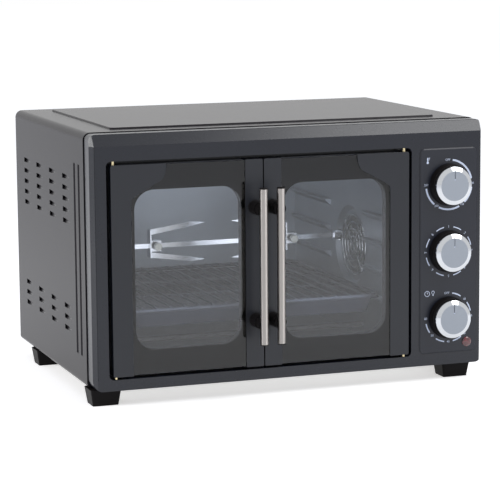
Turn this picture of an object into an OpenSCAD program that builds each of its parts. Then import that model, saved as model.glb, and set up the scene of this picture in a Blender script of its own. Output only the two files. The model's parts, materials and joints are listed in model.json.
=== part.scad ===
// Countertop convection oven with two glass doors on vertical pins, three dial
// knobs and a rotisserie. Millimetres; +X to the user's right, +Y to the back, +Z up.
// The origin is the middle of the overall box, on the surface that the feet stand on.

/* [Body] */
// Width of the control side, from the door opening to the shell's right side
control_w = 98.7; // [92:0.1:120]
// Height of the shell, without feet and raised lid field
body_h = 308; // [300:1:330]
// Depth from the flat front face to the shell's back edge
body_d = 365; // [355:1:400]
// Thickness of the folded steel sheet of shell, frame and covers
sheet_t = 1.2; // [0.8:0.1:1.6]
// Radius of the long top edges
shell_r = 9; // [5:0.5:14]
// Height of the raised field on the lid
lid_field_rise = 1.8; // [1:0.1:3]
// Margin between the lid field and the shell's sides
lid_field_margin = 42; // [30:1:60]
// Height of the feet
foot_h = 20; // [14:1:30]
// Width of a foot where it meets the body
foot_w = 38; // [30:1:44]
// Depth of a foot where it meets the body
foot_d = 33; // [26:1:40]

/* [Louvres] */
// Length of one pressed side louvre
louvre_len = 30; // [24:1:40]
// Radius of a louvre's scoop
louvre_r = 2.9; // [2.6:0.1:4]
// Depth of a louvre at its open end
louvre_depth = 3.2; // [2.6:0.1:3.8]
// Spacing of louvres from front to back
louvre_pitch_y = 64.5; // [55:0.5:70]
// Spacing of louvres from row to row
louvre_pitch_z = 13.7; // [12:0.1:16]
// Rows in the upper louvre group
louvre_rows_up = 5; // [2:1:5]
// Rows in the lower louvre group
louvre_rows_low = 3; // [1:1:4]
// Louvres in one row
louvre_cols = 4; // [2:1:4]

/* [Front frame] */
// Depth of the frame's rim back to the seam with the shell
rim_d = 27; // [22:1:34]
// Width of the side chamfers, seen from the front
chamfer_side = 5; // [3:0.5:8]
// Height of the top chamfer, seen from the front
chamfer_top = 14.5; // [8:0.5:18]
// Depth that the chamfers run back
chamfer_run = 8; // [5:0.5:12]
// Width of the door opening
opening_w = 391.6; // [380:0.2:396]
// Height of the door opening
opening_h = 262; // [250:1:266]
// Distance from the shell's left side to the opening
opening_left = 19.7; // [16:0.1:24]
// Height of the opening above the underside
opening_low = 13.5; // [10:0.5:18]
// Corner radius of the opening
opening_r = 6; // [3:0.5:10]

/* [Doors] */
// Gap between a door and the hinge side of the opening
door_gap_side = 4.7; // [3.6:0.1:6]
// Gap between the two doors
door_gap_mid = 1.6; // [1.2:0.1:3]
// Gap above the doors
door_gap_top = 4.5; // [3:0.1:6]
// Gap below the doors
door_gap_low = 3.5; // [2.5:0.1:5]
// Thickness of the door glass
glass_t = 4; // [3:0.5:5]
// Depth of the door frame behind the glass
door_frame_d = 11; // [8:0.5:12]
// How far the glass stands in front of the frame's face
glass_proud = 1.4; // [0:0.1:2]
// How far the stile and the hinge trim stand in front of the glass
trim_proud = 1.2; // [0.6:0.1:2]
// Width of the stile that carries the handle
stile_w = 22.4; // [18:0.2:28]
// Width of the hinge trim
trim_w = 25; // [20:0.5:28]
// Width of the hinge trim at its flared top
trim_flare_w = 69; // [50:1:80]
// Border from the door's hinge edge to the window
window_side = 29.6; // [28.5:0.1:34]
// Border from the door's top edge to the window
window_top = 31; // [26:0.5:40]
// Border from the door's bottom edge to the window
window_low = 30; // [26:0.5:40]
// Border from the stile to the window
window_stile = 4.4; // [3:0.2:10]
// Corner radius of the window
window_r = 24; // [12:1:32]
// Radius of a hinge pin
pin_r = 2; // [1.5:0.1:2.4]
// Distance from the door's hinge edge to the pin's axis
pin_in = 4.5; // [4:0.1:5]
// Depth of the pin's axis behind the frame's face
pin_back = 3.6; // [3.4:0.1:5]

/* [Handles] */
// Diameter of a handle bar
bar_d = 10; // [8:0.5:12]
// Length of a handle bar without its end caps
bar_len = 188; // [160:1:210]
// Distance from the frame's face to the bar's axis
bar_out = 33; // [26:0.5:40]
// Diameter of a handle post
post_d = 15; // [12:0.5:18]
// Distance from the handle's axis to the door's meeting edge
handle_in = 10.2; // [9.6:0.1:11.6]
// Distance between the two posts of a handle
post_pitch = 138; // [110:1:150]

/* [Controls] */
// Width of the raised control field
panel_w = 77.5; // [70:0.5:82]
// Height of the raised control field
panel_h = 258; // [240:1:262]
// Thickness of the control field plate
panel_t = 1.8; // [1.2:0.1:2.5]
// Distance of the outer knobs' axes from the ends of the control field
knob_end = 45.2; // [44:0.2:53]
// Diameter of the chrome knob cap
cap_d = 47.4; // [40:0.2:50]
// Height of the chrome knob cap
cap_h = 8; // [6:0.5:10]
// Diameter of the knob skirt at the panel
skirt_d = 53; // [48:0.5:56]
// Height of the knob skirt
skirt_h = 9.6; // [8:0.2:12]
// Diameter of the indicator lens
lens_d = 12; // [8:0.5:14]

/* [Cavity] */
// Inside width of the oven cavity
cavity_w = 342; // [326:1:348]
// Inside height of the oven cavity
cavity_h = 234; // [225:1:240]
// Inside depth of the oven cavity
cavity_d = 324; // [306:1:326]
// Height of the tray's rim above the underside
tray_z = 86; // [80:1:92]
// Depth of the tray
tray_h = 19; // [12:1:26]
// Spacing of the rack runners
runner_pitch = 34.5; // [28:0.5:36]
// Diameter of the rack's rim wire
rack_rim_d = 5; // [4:0.5:6]
// Diameter of the rack's cross wires
rack_wire_d = 2.6; // [2:0.2:3.4]
// Spacing of the rack's cross wires
rack_wire_pitch = 18; // [14:1:24]
// Diameter of a heating element
element_d = 7; // [6:0.5:8]

/* [Rotisserie and fan] */
// Side of the square spit rod
spit_side = 6; // [5:0.5:7]
// Length of a fork's prongs
prong_len = 75; // [50:1:80]
// Distance from the front face to the fan's axis, ahead of the spit
fan_y = 141; // [136:1:142]
// Height of the fan's axis above the underside
fan_z = 137; // [130:1:144]
// Outer radius of the fan guard
guard_r = 40; // [34:1:40]
// Blades on the fan
fan_blades = 8; // [5:1:12]

/* [Hidden] */

// Clearances
seam_gap = 2;            // visible joint between frame rim and shell
slip = 0.3;              // between parts that slide or nest
run_fit = 0.05;          // radial clearance of a turning pin or shaft
eps = 0.5;               // overshoot of a cut past a face
body_w = opening_left + opening_w + control_w;

// Body: the body frame has x from the middle, y from the flat front face and
// z from the underside of the shell
gland_out = 7;
cap_len = 1.5;
bar_r = bar_d / 2;
front_reach = bar_out + bar_r;
back_reach = body_d + gland_out;
face_y = -(back_reach - front_reach) / 2;
half_w = body_w / 2;
face_w = body_w - 2 * chamfer_side;
face_top = body_h - chamfer_top;
rim_r_low = 12;
shell_r_low = 6;
flange_w = 44;           // width of the shell's inward bottom flanges
tongue_d = 8;
lid_field_front = 57;
lid_field_back = 25;
lid_field_r = 6;
lid_bevel = 1;

// Side louvres: row heights of the two groups and the rear end of the last column
louvre_low_top = 86.5;
louvre_up_top = 247.3;
louvre_rear = 321;
louvre_tilt = atan(louvre_depth / louvre_len);
louvre_slit = 0.9;       // open crescent at a louvre's deep edge
louvre_lip_back = 0.3;   // from the scoop's end to the lip

// Side field: two pressed upright beads near the seam and two fine level beads
bead_r = 5;
bead_depth = 2;
bead_y = [50.5, 70];
bead_z = [36, 268];
fine_bead_r = 3;
fine_bead_depth = 0.8;
fine_bead_back = 20;

// Door opening and doors
open_x0 = -half_w + opening_left;
open_xm = open_x0 + opening_w / 2;
open_zm = opening_low + opening_h / 2;
opening_flange_d = 18;
door_w = (opening_w - 2 * door_gap_side - door_gap_mid) / 2;
door_h = opening_h - door_gap_top - door_gap_low;
door_z0 = opening_low + door_gap_low;
glass_back = glass_t - glass_proud;
trim_front = -glass_proud - trim_proud;
door_back = glass_back + door_frame_d;
hinge_block_w = 11.5;
glass_edge = 1;
window_w = door_w - stile_w - window_side - window_stile;
window_h = door_h - window_top - window_low;
door_mid_z = door_z0 + door_h / 2;
handle_x = door_w - handle_in;
bar_bore_r = bar_r - 0.9;
pin_in_door = 12;
hinge_x = [open_x0 + door_gap_side + pin_in, open_x0 + opening_w - door_gap_side - pin_in];

// Controls
panel_gap = 10.7;        // between the door opening and the control field
panel_x0 = open_x0 + opening_w + panel_gap;
panel_z0 = open_zm - panel_h / 2;
knob_x = panel_x0 + panel_w / 2 + 0.25;
knob_pitch = panel_h / 2 - knob_end;
knob_z = [for (i = [1, 0, -1]) open_zm - 0.5 + i * knob_pitch];
panel_front = -panel_t;
skirt_gap = 0.6;
skirt_back = panel_front - skirt_gap;
skirt_front = skirt_back - skirt_h;
cap_front = skirt_front - cap_h;
shaft_r = 3;
lens_x = panel_x0 + panel_w - 13.3;
lens_z = panel_z0 + 12.2;

// Cavity
flange_t = 1.2;
cav_x0 = open_xm - cavity_w / 2;
cav_x1 = cav_x0 + cavity_w;
cav_z0 = open_zm - cavity_h / 2;
cav_z1 = cav_z0 + cavity_h;
cav_y0 = opening_flange_d + flange_t;
cav_y1 = cav_y0 + cavity_d;
cav_t = 1;
cavity_r = 14;
runner_in = 8;
runner_h = 5;
tray_t = 0.8;
runner_tops = [for (i = [0:3]) tray_z - tray_t + i * runner_pitch];
rack_z = tray_z + rack_rim_d / 2;
tray_flange = 7;
element_inset = 80;      // distance of the elements from front and back
element_y = [cav_y0 + element_inset, cav_y1 - element_inset];
element_in = 13;         // distance of the elements from roof and floor
insulator_r = 6;
insulator_len = 14;
element_tail = 6;        // bare end past an insulator

// Rotisserie and fan
spit_y = 189;
spit_z = open_zm - 0.5;
spit_journal_r = 2.9;
coupling_r = 6.5;
fork_left_out = 86;      // places of the forks left and right of the cavity's middle
fork_right_out = 99;
fork_x = [open_xm - fork_left_out, open_xm + fork_right_out];
fork_h = 36;             // height of the folded strap that carries the prongs
fork_w = 14;
fork_t = 1.6;
fork_lift = 2.5;         // the strap stands this much higher than the rod
prong_w = 7;
prong_flange = 4;        // depth of the stiffening flange along a prong
spear_len = 19;          // flat pointed end of a prong
spear_w = 6;
prong_rise = 24;         // height of the prong tips above the strap's middle
clamp_len = 13;
dish_r = guard_r + 12;   // dish pressed into the right wall round the fan
dish_floor_r = guard_r + 6;
dish_d = 6;
runner_y = [[cav_y0 + 8, fan_y - dish_r - 2], [spit_y + 20, cav_y1 - 8]];
guard_wire = 2;
guard_rings = 4;
guard_hub = 3;
fan_r = guard_r - 4;
fan_w = 16;
drum_r = fan_r + 3;
drum_d = 24;

// ---------- helpers ----------

// Moves a piece from the body frame to the part's own frame
module in_body() translate([0, face_y, foot_h]) children();

// Points of a quarter arc about c, from angle a0
function arc(c, r, a0, n = 8) = [for (i = [0:n]) c + r * [cos(a0 + 90 * i / n), sin(a0 + 90 * i / n)]];

// Outline of a rectangle from p0 to p1, with its lower and upper corners rounded
function round_rect(p0, p1, r_low, r_up) = concat(
    arc([p1[0] - r_low, p0[1] + r_low], r_low, -90),
    arc([p1[0] - r_up, p1[1] - r_up], r_up, 0),
    arc([p0[0] + r_up, p1[1] - r_up], r_up, 90),
    arc([p0[0] + r_low, p0[1] + r_low], r_low, 180));

// Extrudes an outline drawn in X and Z from depth y0 to depth y1
module slab(y0, y1) translate([0, y1, 0]) rotate([90, 0, 0]) linear_extrude(y1 - y0) children();

module box(p0, p1) translate(p0) cube(p1 - p0);
module rod_x(x0, x1, r) translate([x0, 0, 0]) rotate([0, 90, 0]) cylinder(h = x1 - x0, r = r, $fn = 32);
module rod_y(y0, y1, r) translate([0, y1, 0]) rotate([90, 0, 0]) cylinder(h = y1 - y0, r = r, $fn = 48);
module both_sides() {
    children();
    mirror([1, 0, 0]) children();
}

// ---------- outer shell ----------

// Axis of each louvre at its rear end, on one side
module louvre_places() {
    groups = [[louvre_up_top, louvre_rows_up], [louvre_low_top, louvre_rows_low]];
    for (g = groups, row = [0:g[1] - 1], col = [0:louvre_cols - 1])
        translate([-half_w + louvre_depth - louvre_r, louvre_rear - col * louvre_pitch_y,
                   g[0] - row * louvre_pitch_z]) children();
}

// Scoops of all louvres on one side, grown by the sheet's thickness for the inner face
module louvre_scoops(grow) louvre_places() rotate([90, 0, -louvre_tilt])
    cylinder(h = louvre_len + 6, r = louvre_r + grow, $fn = 24);

// Lips bent in from the sheet behind each scoop; a crescent slit stays open round them
module louvre_lips() louvre_places() intersection() {
    rod_y(louvre_lip_back, louvre_lip_back + sheet_t, louvre_r - louvre_slit);
    box([louvre_r - louvre_depth + sheet_t / 2, 0, -louvre_r], [louvre_r, sheet_t + 1, louvre_r]);
}

// Pressed beads of one side
module side_beads(grow) {
    for (y = bead_y)
        translate([-half_w - bead_r + bead_depth, y, bead_z[0]])
            cylinder(h = bead_z[1] - bead_z[0], r = bead_r + grow, $fn = 32);
    for (z = bead_z)
        translate([-half_w - fine_bead_r + fine_bead_depth, bead_y[1] + bead_r, z])
            rotate([-90, 0, 0])
                cylinder(h = body_d - fine_bead_back - bead_y[1] - bead_r, r = fine_bead_r + grow, $fn = 24);
}

// Raised field on the lid
module lid_field(inset) {
    x = half_w - lid_field_margin - inset;
    hull() {
        translate([0, 0, body_h - 4]) linear_extrude(4)
            polygon(round_rect([-x, lid_field_front + inset], [x, body_d - lid_field_back - inset],
                               lid_field_r, lid_field_r));
        translate([0, 0, body_h + lid_field_rise - inset - 1]) linear_extrude(1)
            polygon(round_rect([-x + lid_bevel, lid_field_front + inset + lid_bevel],
                               [x - lid_bevel, body_d - lid_field_back - inset - lid_bevel],
                               lid_field_r, lid_field_r));
    }
}

// The shell's solid form, from depth y0 to y1, set in by a distance
module shell_form(y0, y1, inset) {
    slab(y0, y1)
        polygon(round_rect([-half_w + inset, inset], [half_w - inset, body_h - inset],
                           shell_r_low - inset, shell_r - inset));
}

module outer_shell() color("dimgray") in_body() {
    y0 = rim_d + seam_gap;
    tongue = sheet_t + slip;
    difference() {
        union() {
            difference() {
                union() {
                    shell_form(y0, body_d, 0);
                    lid_field(0);
                }
                both_sides() louvre_scoops(0);
                both_sides() side_beads(0);
            }
            // Tongue that the frame's rim slides over
            difference() {
                shell_form(rim_d - tongue_d, y0 + sheet_t, tongue);
                box([-half_w, rim_d - tongue_d - eps, -eps], [half_w, y0, rim_r_low + 4]);
            }
        }
        difference() {
            union() {
                shell_form(y0 + sheet_t, body_d + eps, sheet_t);
                lid_field(sheet_t);
            }
            both_sides() louvre_scoops(sheet_t);
            both_sides() side_beads(sheet_t);
        }
        shell_form(rim_d - tongue_d - eps, y0 + sheet_t + eps, tongue + sheet_t);
        box([-half_w + flange_w, y0 - eps, -eps], [half_w - flange_w, body_d + eps, 4]);
        // The step to the tongue stops above the bottom flanges
        box([-half_w + shell_r_low, y0 - eps, sheet_t], [half_w - shell_r_low, y0 + sheet_t + eps, rim_r_low + 4]);
    }
    both_sides() louvre_lips();
}

// ---------- front frame ----------

// The frame's solid form with its chamfers, set in by a distance
module frame_form(inset, back) {
    corner = face_w / 2 - inset;
    outer = half_w - inset;
    top = body_h - inset;
    low_top = face_top - inset / 2;
    difference() {
        intersection() {
            slab(inset, back) polygon(round_rect([-outer, inset], [outer, top], rim_r_low - inset, shell_r - inset));
            translate([-outer - 1, 0, 0]) rotate([90, 0, 90]) linear_extrude(2 * outer + 2)
                polygon([[inset, -1], [inset, low_top], [chamfer_run + inset, top], [back + 1, top + 1],
                         [back + 1, -1]]);
            translate([0, 0, -1]) linear_extrude(body_h + 2)
                polygon([[-corner, inset], [corner, inset], [outer, chamfer_run + inset], [outer, back + 1],
                         [-outer, back + 1], [-outer, chamfer_run + inset]]);
        }
        // Bright corner facet between the top chamfer and the side chamfer
        both_sides() hull() for (p = [[corner, inset, low_top], [corner + 0.5, chamfer_run + inset, top + 1],
                [outer, chamfer_run + inset, low_top], [outer + 1, 2 * chamfer_run + inset, top + 1],
                [outer + 1, inset - 6, low_top], [outer + 1, inset - 6, top + 1], [corner, inset - 6, top + 1]])
            translate(p) cube(0.01);
    }
}

crease_w = 1.2;
crease_d = 0.4;
module opening_outline(grow) polygon(round_rect([open_x0 - grow, opening_low - grow],
    [open_x0 + opening_w + grow, opening_low + opening_h + grow], opening_r + grow, opening_r + grow));

module front_frame() color("#23262d") in_body() difference() {
    union() {
        difference() {
            frame_form(0, rim_d);
            frame_form(sheet_t, rim_d + eps);
        }
        slab(0.2, opening_flange_d) opening_outline(sheet_t);
    }
    slab(-eps, opening_flange_d + eps) opening_outline(0);
    // Pressed creases where the chamfers end
    box([-face_w / 2, chamfer_run - crease_d, body_h - crease_d],
        [face_w / 2, chamfer_run - crease_d + crease_w, body_h + eps]);
    both_sides() box([face_w / 2 + crease_d - crease_w, -eps, rim_r_low + 2],
                     [face_w / 2 + crease_d, crease_d, face_top - 1]);
    for (z = knob_z) translate([knob_x, 0, z]) rod_y(-eps, sheet_t + eps, shaft_r + 2);
    translate([lens_x, 0, lens_z]) rod_y(-eps, sheet_t + eps, lens_d / 2 - 1 + slip);
    for (x = hinge_x) translate([x, pin_back, 0])
        translate([0, 0, opening_low - sheet_t - eps])
            cylinder(h = opening_h + 2 * sheet_t + 2 * eps, r = pin_r + run_fit, $fn = 32);
}

// Plate with the printed dials, its edge bevelled
panel_bevel = 1.4;
module panel_outline(inset) polygon(round_rect([panel_x0 + inset, panel_z0 + inset],
    [panel_x0 + panel_w - inset, panel_z0 + panel_h - inset], 6 - inset, 6 - inset));

module control_panel() color("#262930") in_body() difference() {
    hull() {
        slab(-0.4, 0) panel_outline(0);
        slab(panel_front, -0.4) panel_outline(panel_bevel);
    }
    for (z = knob_z) translate([knob_x, 0, z]) rod_y(panel_front - eps, eps, shaft_r + 2);
    translate([lens_x, 0, lens_z]) rod_y(panel_front - eps, eps, lens_d / 2 - 1 + slip);
}

// ---------- back and underside ----------

module slot(len, wid) {
    square([len - wid, wid], center = true);
    for (s = [-1, 1]) translate([s * (len - wid) / 2, 0]) circle(d = wid, $fn = 24);
}

cover_in = sheet_t + 0.2;
cover_sunk = 4;          // from the shell's rear edge to the cover
cover_y = body_d - cover_sunk;
cover_skirt = 9;
cover_screw_in = 14;
cover_screw_r = 1.6;
screw_xz = [for (x = [-1, 1], z = [0.12, 0.5, 0.88]) [x * (half_w - cover_screw_in), z * body_h]];

// Vent slots: three blocks behind the cavity, a tall block behind the controls, and the underside
vent_x = [-170, -60, 50];
vent_len = 80;
vent_w = 4;
vent_pitch = 11;
vent_down = 42;          // from the top to the uppermost slots
tall_vent_len = 44;
tall_vent_pitch = 13;
tall_vent_z = 70;
under_vent_len = 46;
under_vent_w = 5;
under_vent_y = 110;
under_vent_x = [-150, -60, knob_x - 38];
under_vent_pitch = 22;

// Grommet of the supply lead
gland_x = knob_x - 30;
gland_z = 34;
gland_r = 5.8;
gland_bore = 3.6;
gland_flange = 9;

module cover_outline(inset) polygon(round_rect([-half_w + inset, inset], [half_w - inset, body_h - inset],
    shell_r_low - inset, shell_r - inset));

module rear_cover() color("dimgray") in_body() difference() {
    slab(cover_y - cover_skirt, cover_y) cover_outline(cover_in);
    slab(cover_y - cover_skirt - eps, cover_y - sheet_t) cover_outline(cover_in + sheet_t);
    for (x = vent_x, row = [0:4]) translate([x, 0, body_h - vent_down - row * vent_pitch])
        slab(cover_y - 2, cover_y + eps) slot(vent_len, vent_w);
    for (row = [0:11]) translate([knob_x - tall_vent_len / 2, 0, tall_vent_z + row * tall_vent_pitch])
        slab(cover_y - 2, cover_y + eps) slot(tall_vent_len, vent_w + 0.5);
    for (p = screw_xz) translate([p[0], 0, p[1]]) rod_y(cover_y - 2, cover_y + eps, cover_screw_r + 0.1);
    translate([gland_x, 0, gland_z]) rod_y(cover_y - 2, cover_y + eps, gland_r + 0.2);
}

module cover_screws() color("silver") in_body() {
    for (p = screw_xz) translate([p[0], 0, p[1]]) {
        rod_y(cover_y - 6, cover_y + 0.1, cover_screw_r);
        translate([0, cover_y, 0]) rotate([-90, 0, 0]) rotate_extrude($fn = 32)
            polygon([[0, 0], [3.4, 0], [3.2, 1], [2.2, 1.7], [0, 1.9]]);
    }
}

// The grommet grips the cover's sheet; the lead itself is not fitted
module cord_gland() color("#1b1b1d") in_body() translate([gland_x, cover_y, gland_z])
    rotate([-90, 0, 0]) rotate_extrude($fn = 40) {
        end = gland_out + cover_sunk;
        back = -sheet_t - slip;
        polygon([[gland_bore, back - 3.5], [gland_r + 1.2, back - 3.5], [gland_r + 1.2, back], [gland_r, back],
                 [gland_r, 0], [gland_flange, 0], [gland_flange, 2.5], [gland_r + 0.6, 4],
                 [gland_r + 0.2, end], [gland_bore, end]]);
    }

module bottom_plate() color("#4a4a4e") in_body() difference() {
    side = half_w - rim_r_low - 2;
    front = rim_d - 7;
    union() {
        box([-side, front, sheet_t], [side, cover_y - cover_skirt - eps, 2 * sheet_t]);
        // Upturned front edge
        box([-side, front, sheet_t], [side, front + sheet_t, 11]);
    }
    for (row = [0:6], x = under_vent_x)
        translate([x, under_vent_y + row * under_vent_pitch, -eps]) linear_extrude(4)
            slot(under_vent_len, under_vent_w);
}

// Four tapered feet; the right pair stands further in
foot_in = 12;
foot_left = -half_w + foot_w / 2;
foot_right = half_w - foot_w / 2 - foot_in;
foot_y = [foot_in + foot_d / 2, body_d - 75];
foot_taper = 3;
module feet() color("#141416") in_body()
    for (x = [foot_left, foot_right], y = foot_y) translate([x, y, 0]) hull() {
        translate([0, 0, -0.8]) linear_extrude(0.8)
            polygon(round_rect([-foot_w / 2, -foot_d / 2], [foot_w / 2, foot_d / 2], 3, 3));
        translate([0, 0, -foot_h]) linear_extrude(0.8)
            polygon(round_rect([-foot_w / 2 + foot_taper, -foot_d / 2 + foot_taper],
                               [foot_w / 2 - foot_taper, foot_d / 2 - foot_taper], 2, 2));
    }

// ---------- oven cavity ----------

module cavity_flange() color("gray") in_body() difference() {
    slab(cav_y0 - flange_t, cav_y0) opening_outline(9);
    slab(cav_y0 - flange_t - eps, cav_y0 + eps)
        polygon(round_rect([cav_x0, cav_z0], [cav_x1, cav_z1], cavity_r, cavity_r));
}

// Roof, floor and back are plain panels, the side walls carry the pressed runners
module cavity_roof() color("silver") in_body()
    box([cav_x0, cav_y0, cav_z1], [cav_x1, cav_y1, cav_z1 + cav_t]);

module cavity_floor() color("silver") in_body()
    box([cav_x0, cav_y0, cav_z0 - cav_t], [cav_x1, cav_y1, cav_z0]);

module cavity_back() color("silver") in_body() difference() {
    box([cav_x0 - cav_t, cav_y1, cav_z0 - cav_t], [cav_x1 + cav_t, cav_y1 + cav_t, cav_z1 + cav_t]);
    for (row = [0:3], i = [-3:3]) translate([open_xm + i * 12, 0, cav_z1 - 22 - row * 10])
        rod_y(cav_y1 - eps, cav_y1 + 2, 2);
}

// One runner: a pressed rib with sloped flanks
module runner(span, top) translate([0, span[0], top]) rotate([-90, 0, 0]) linear_extrude(span[1] - span[0])
    polygon([[0, 0], [runner_in, 0], [runner_in, 1.5], [0, runner_h + 3]]);

module wall_panel(holes_x) {
    difference() {
        union() {
            box([-cav_t, cav_y0, cav_z0 - cav_t], [0, cav_y1, cav_z1 + cav_t]);
            for (z = runner_tops, span = runner_y) runner(span, z);
        }
        for (y = element_y, z = [cav_z0 + element_in, cav_z1 - element_in])
            translate([0, y, z]) rod_x(-cav_t - eps, eps, element_d / 2 + slip);
        children();
    }
}

module cavity_wall_left() color("silver") in_body() translate([cav_x0, 0, 0]) wall_panel();

// The right wall has a dish round the fan, with a hole for the fan and for the spit
module cavity_wall_right() color("silver") in_body() {
    difference() {
        union() {
            translate([cav_x1, 0, 0]) mirror([1, 0, 0]) wall_panel() {
                translate([0, fan_y, fan_z]) rod_x(-cav_t - eps, eps, dish_r);
                translate([0, lamp_y, lamp_z]) rod_x(-cav_t - eps, eps, lamp_r);
            }
            translate([cav_x1, fan_y, fan_z]) rotate([0, 90, 0]) rotate_extrude($fn = 96)
                polygon([[drum_r - 2, dish_d], [dish_floor_r, dish_d], [dish_r - 0.5, 0], [dish_r + 0.5, 0],
                    [dish_r + 0.5, cav_t], [dish_floor_r + 0.5, dish_d + cav_t], [drum_r - 2, dish_d + cav_t]]);
        }
        translate([cav_x1, spit_y, spit_z]) rod_x(-eps, dish_d + 2, coupling_r + 1);
    }
}

element_reach = cavity_w / 2 + cav_t + insulator_len + element_tail;
module element_set(z) in_body() for (y = element_y)
    translate([open_xm, y, z]) rod_x(-element_reach, element_reach, element_d / 2);
module upper_elements() color("#6e6a66") element_set(cav_z1 - element_in);
module lower_elements() color("#6e6a66") element_set(cav_z0 + element_in);

module element_insulators() color("white") in_body()
    for (y = element_y, z = [cav_z0 + element_in, cav_z1 - element_in], side = [-1, 1])
        translate([open_xm + side * (cavity_w / 2 + cav_t), y, z]) difference() {
            union() {
                rod_x(side > 0 ? 0 : -3, side > 0 ? 3 : 0, insulator_r + 2.5);
                rod_x(side > 0 ? 0 : -insulator_len, side > 0 ? insulator_len : 0, insulator_r);
            }
            rod_x(-insulator_len - 1, insulator_len + 1, element_d / 2 + 0.1);
        }

// Rack: a bent rim wire with cross wires laid over it
rack_play = 5;
rack_front = 14;
rack_back = 8;
rack_w = cavity_w - 2 * rack_play;
rack_d = cavity_d - rack_front - rack_back;
rack_r = 20;
module wire_rack() color("silver") in_body() translate([open_xm, cav_y0 + rack_front, rack_z]) {
    r = rack_rim_d / 2;
    for (y = [0, rack_d]) translate([0, y, 0]) rod_x(-rack_w / 2 + rack_r, rack_w / 2 - rack_r, r);
    for (s = [-1, 1]) {
        translate([s * (rack_w / 2), 0, 0]) rod_y(rack_r, rack_d - rack_r, r);
        for (e = [0, 1]) translate([s * (rack_w / 2 - rack_r), e * rack_d + (1 - 2 * e) * rack_r, 0])
            rotate([0, 0, (s > 0 ? -90 : 180) + (e ? (s > 0 ? 90 : -90) : 0)])
                rotate_extrude(angle = 90, $fn = 64) translate([rack_r, 0]) circle(r = r, $fn = 24);
    }
    n = floor((rack_w / 2 - rack_r) / rack_wire_pitch);
    for (i = [-n:n]) translate([i * rack_wire_pitch, 0, r]) rod_y(-0.5, rack_d + 0.5, rack_wire_d / 2);
    for (y = [rack_d / 3, 2 * rack_d / 3]) translate([0, y, -0.6]) rod_x(-rack_w / 2, rack_w / 2, rack_wire_d / 2);
}

// Drawn tray hung by its flange on the lowest runners
tray_play = 1;
tray_front = 18;
tray_back = 16;
tray_draft = 5;
tray_w = cavity_w - 2 * runner_in - 2 * tray_play;
tray_d = cavity_d - tray_front - tray_back;
module tray_form(inset, low) hull() {
    for (s = [[0, 0], [tray_draft, -tray_h + low]]) translate([0, 0, tray_z + s[1]]) linear_extrude(0.4)
        polygon(round_rect([open_xm - tray_w / 2 + s[0] + inset, cav_y0 + tray_front + s[0] + inset],
            [open_xm + tray_w / 2 - s[0] - inset, cav_y0 + tray_front + tray_d - s[0] - inset], 14, 14));
}
module baking_tray() color("#33353a") in_body() difference() {
    union() {
        tray_form(0, 0);
        translate([0, 0, tray_z - tray_t]) linear_extrude(tray_t)
            polygon(round_rect([open_xm - tray_w / 2 - tray_flange, cav_y0 + tray_front - 4],
                [open_xm + tray_w / 2 + tray_flange, cav_y0 + tray_front + tray_d + 4], 10, 10));
    }
    translate([0, 0, 0.4 + eps]) tray_form(tray_t, tray_t);
    tray_form(tray_t, tray_t);
}

module crumb_tray() color("silver") in_body() difference() {
    box([cav_x0 + 6, cav_y0 + 3, cav_z0], [cav_x1 - 6, cav_y1 - 8, cav_z0 + 5]);
    box([cav_x0 + 6.8, cav_y0 + 3.8, cav_z0 + 0.8], [cav_x1 - 6.8, cav_y1 - 8.8, cav_z0 + 6]);
}

// ---------- fan ----------

// Guard of concentric rings on two crossing wires, standing in the dish
dish_x = cav_x1 + dish_d;
module fan_guard() color("silver") in_body() translate([dish_x - guard_wire / 2, fan_y, fan_z]) {
    for (i = [0:guard_rings - 1]) rotate([0, 90, 0]) rotate_extrude($fn = 64)
        translate([guard_hub + (guard_r - guard_hub) * (i + 1) / guard_rings - guard_wire / 2, 0])
            circle(d = guard_wire, $fn = 16);
    for (a = [45, 135]) rotate([a, 0, 0]) translate([-guard_wire * 0.7, 0, -guard_r - 4])
        cylinder(h = 2 * guard_r + 8, d = guard_wire, $fn = 16);
    for (a = [45:90:315]) rotate([a, 0, 0]) translate([0, 0, guard_r + 1])
        rod_x(-guard_wire * 0.7, guard_wire / 2, 2.2);
}

// Drum behind the wall that the fan turns in
module fan_drum() color("silver") in_body() translate([dish_x + cav_t, fan_y, fan_z]) rotate([0, 90, 0])
    rotate_extrude($fn = 96)
        polygon([[drum_r, 0], [drum_r + 3, 0], [drum_r + 3, cav_t], [drum_r + cav_t, cav_t],
                 [drum_r + cav_t, drum_d], [shaft_hole_r, drum_d], [shaft_hole_r, drum_d - cav_t],
                 [drum_r, drum_d - cav_t]]);

// Radial fan: a disc with bent-up blades and the motor's shaft
fan_shaft_r = 2.5;
shaft_hole_r = fan_shaft_r + 2;
module fan() color("silver") in_body() translate([dish_x + cav_t + 2, fan_y, fan_z]) {
    disc_x = fan_w + 1;
    rotate([0, 90, 0]) rotate_extrude($fn = 64)
        polygon([[0, 4], [5, 4], [6, 5], [6, disc_x - 1], [fan_r, disc_x - 1], [fan_r, disc_x], [0, disc_x]]);
    for (i = [0:fan_blades - 1]) rotate([i * 360 / fan_blades, 0, 0])
        box([1, -0.5, fan_r * 0.45], [disc_x - 0.5, 0.5, fan_r - 0.5]);
    rod_x(disc_x - 1, disc_x + 22, fan_shaft_r);
}

// Shaded-pole motor: bearing boss, plate and laminated frame
module fan_motor() color("#8d8f94") in_body() translate([dish_x + cav_t + drum_d, fan_y, fan_z])
    difference() {
        union() {
            rod_x(0, 4, 11);
            box([2.5, -22, -30], [4, 22, 30]);
            for (y = [-17, 17], z = [-25, 25]) translate([0, y, z]) rod_x(0, 3, 3.5);
            rod_x(3.5, 34, 19);
            box([9, -23, -23], [26, 23, 23]);
        }
        rod_x(-1, 22, fan_shaft_r + run_fit);
    }

// ---------- rotisserie ----------

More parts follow.
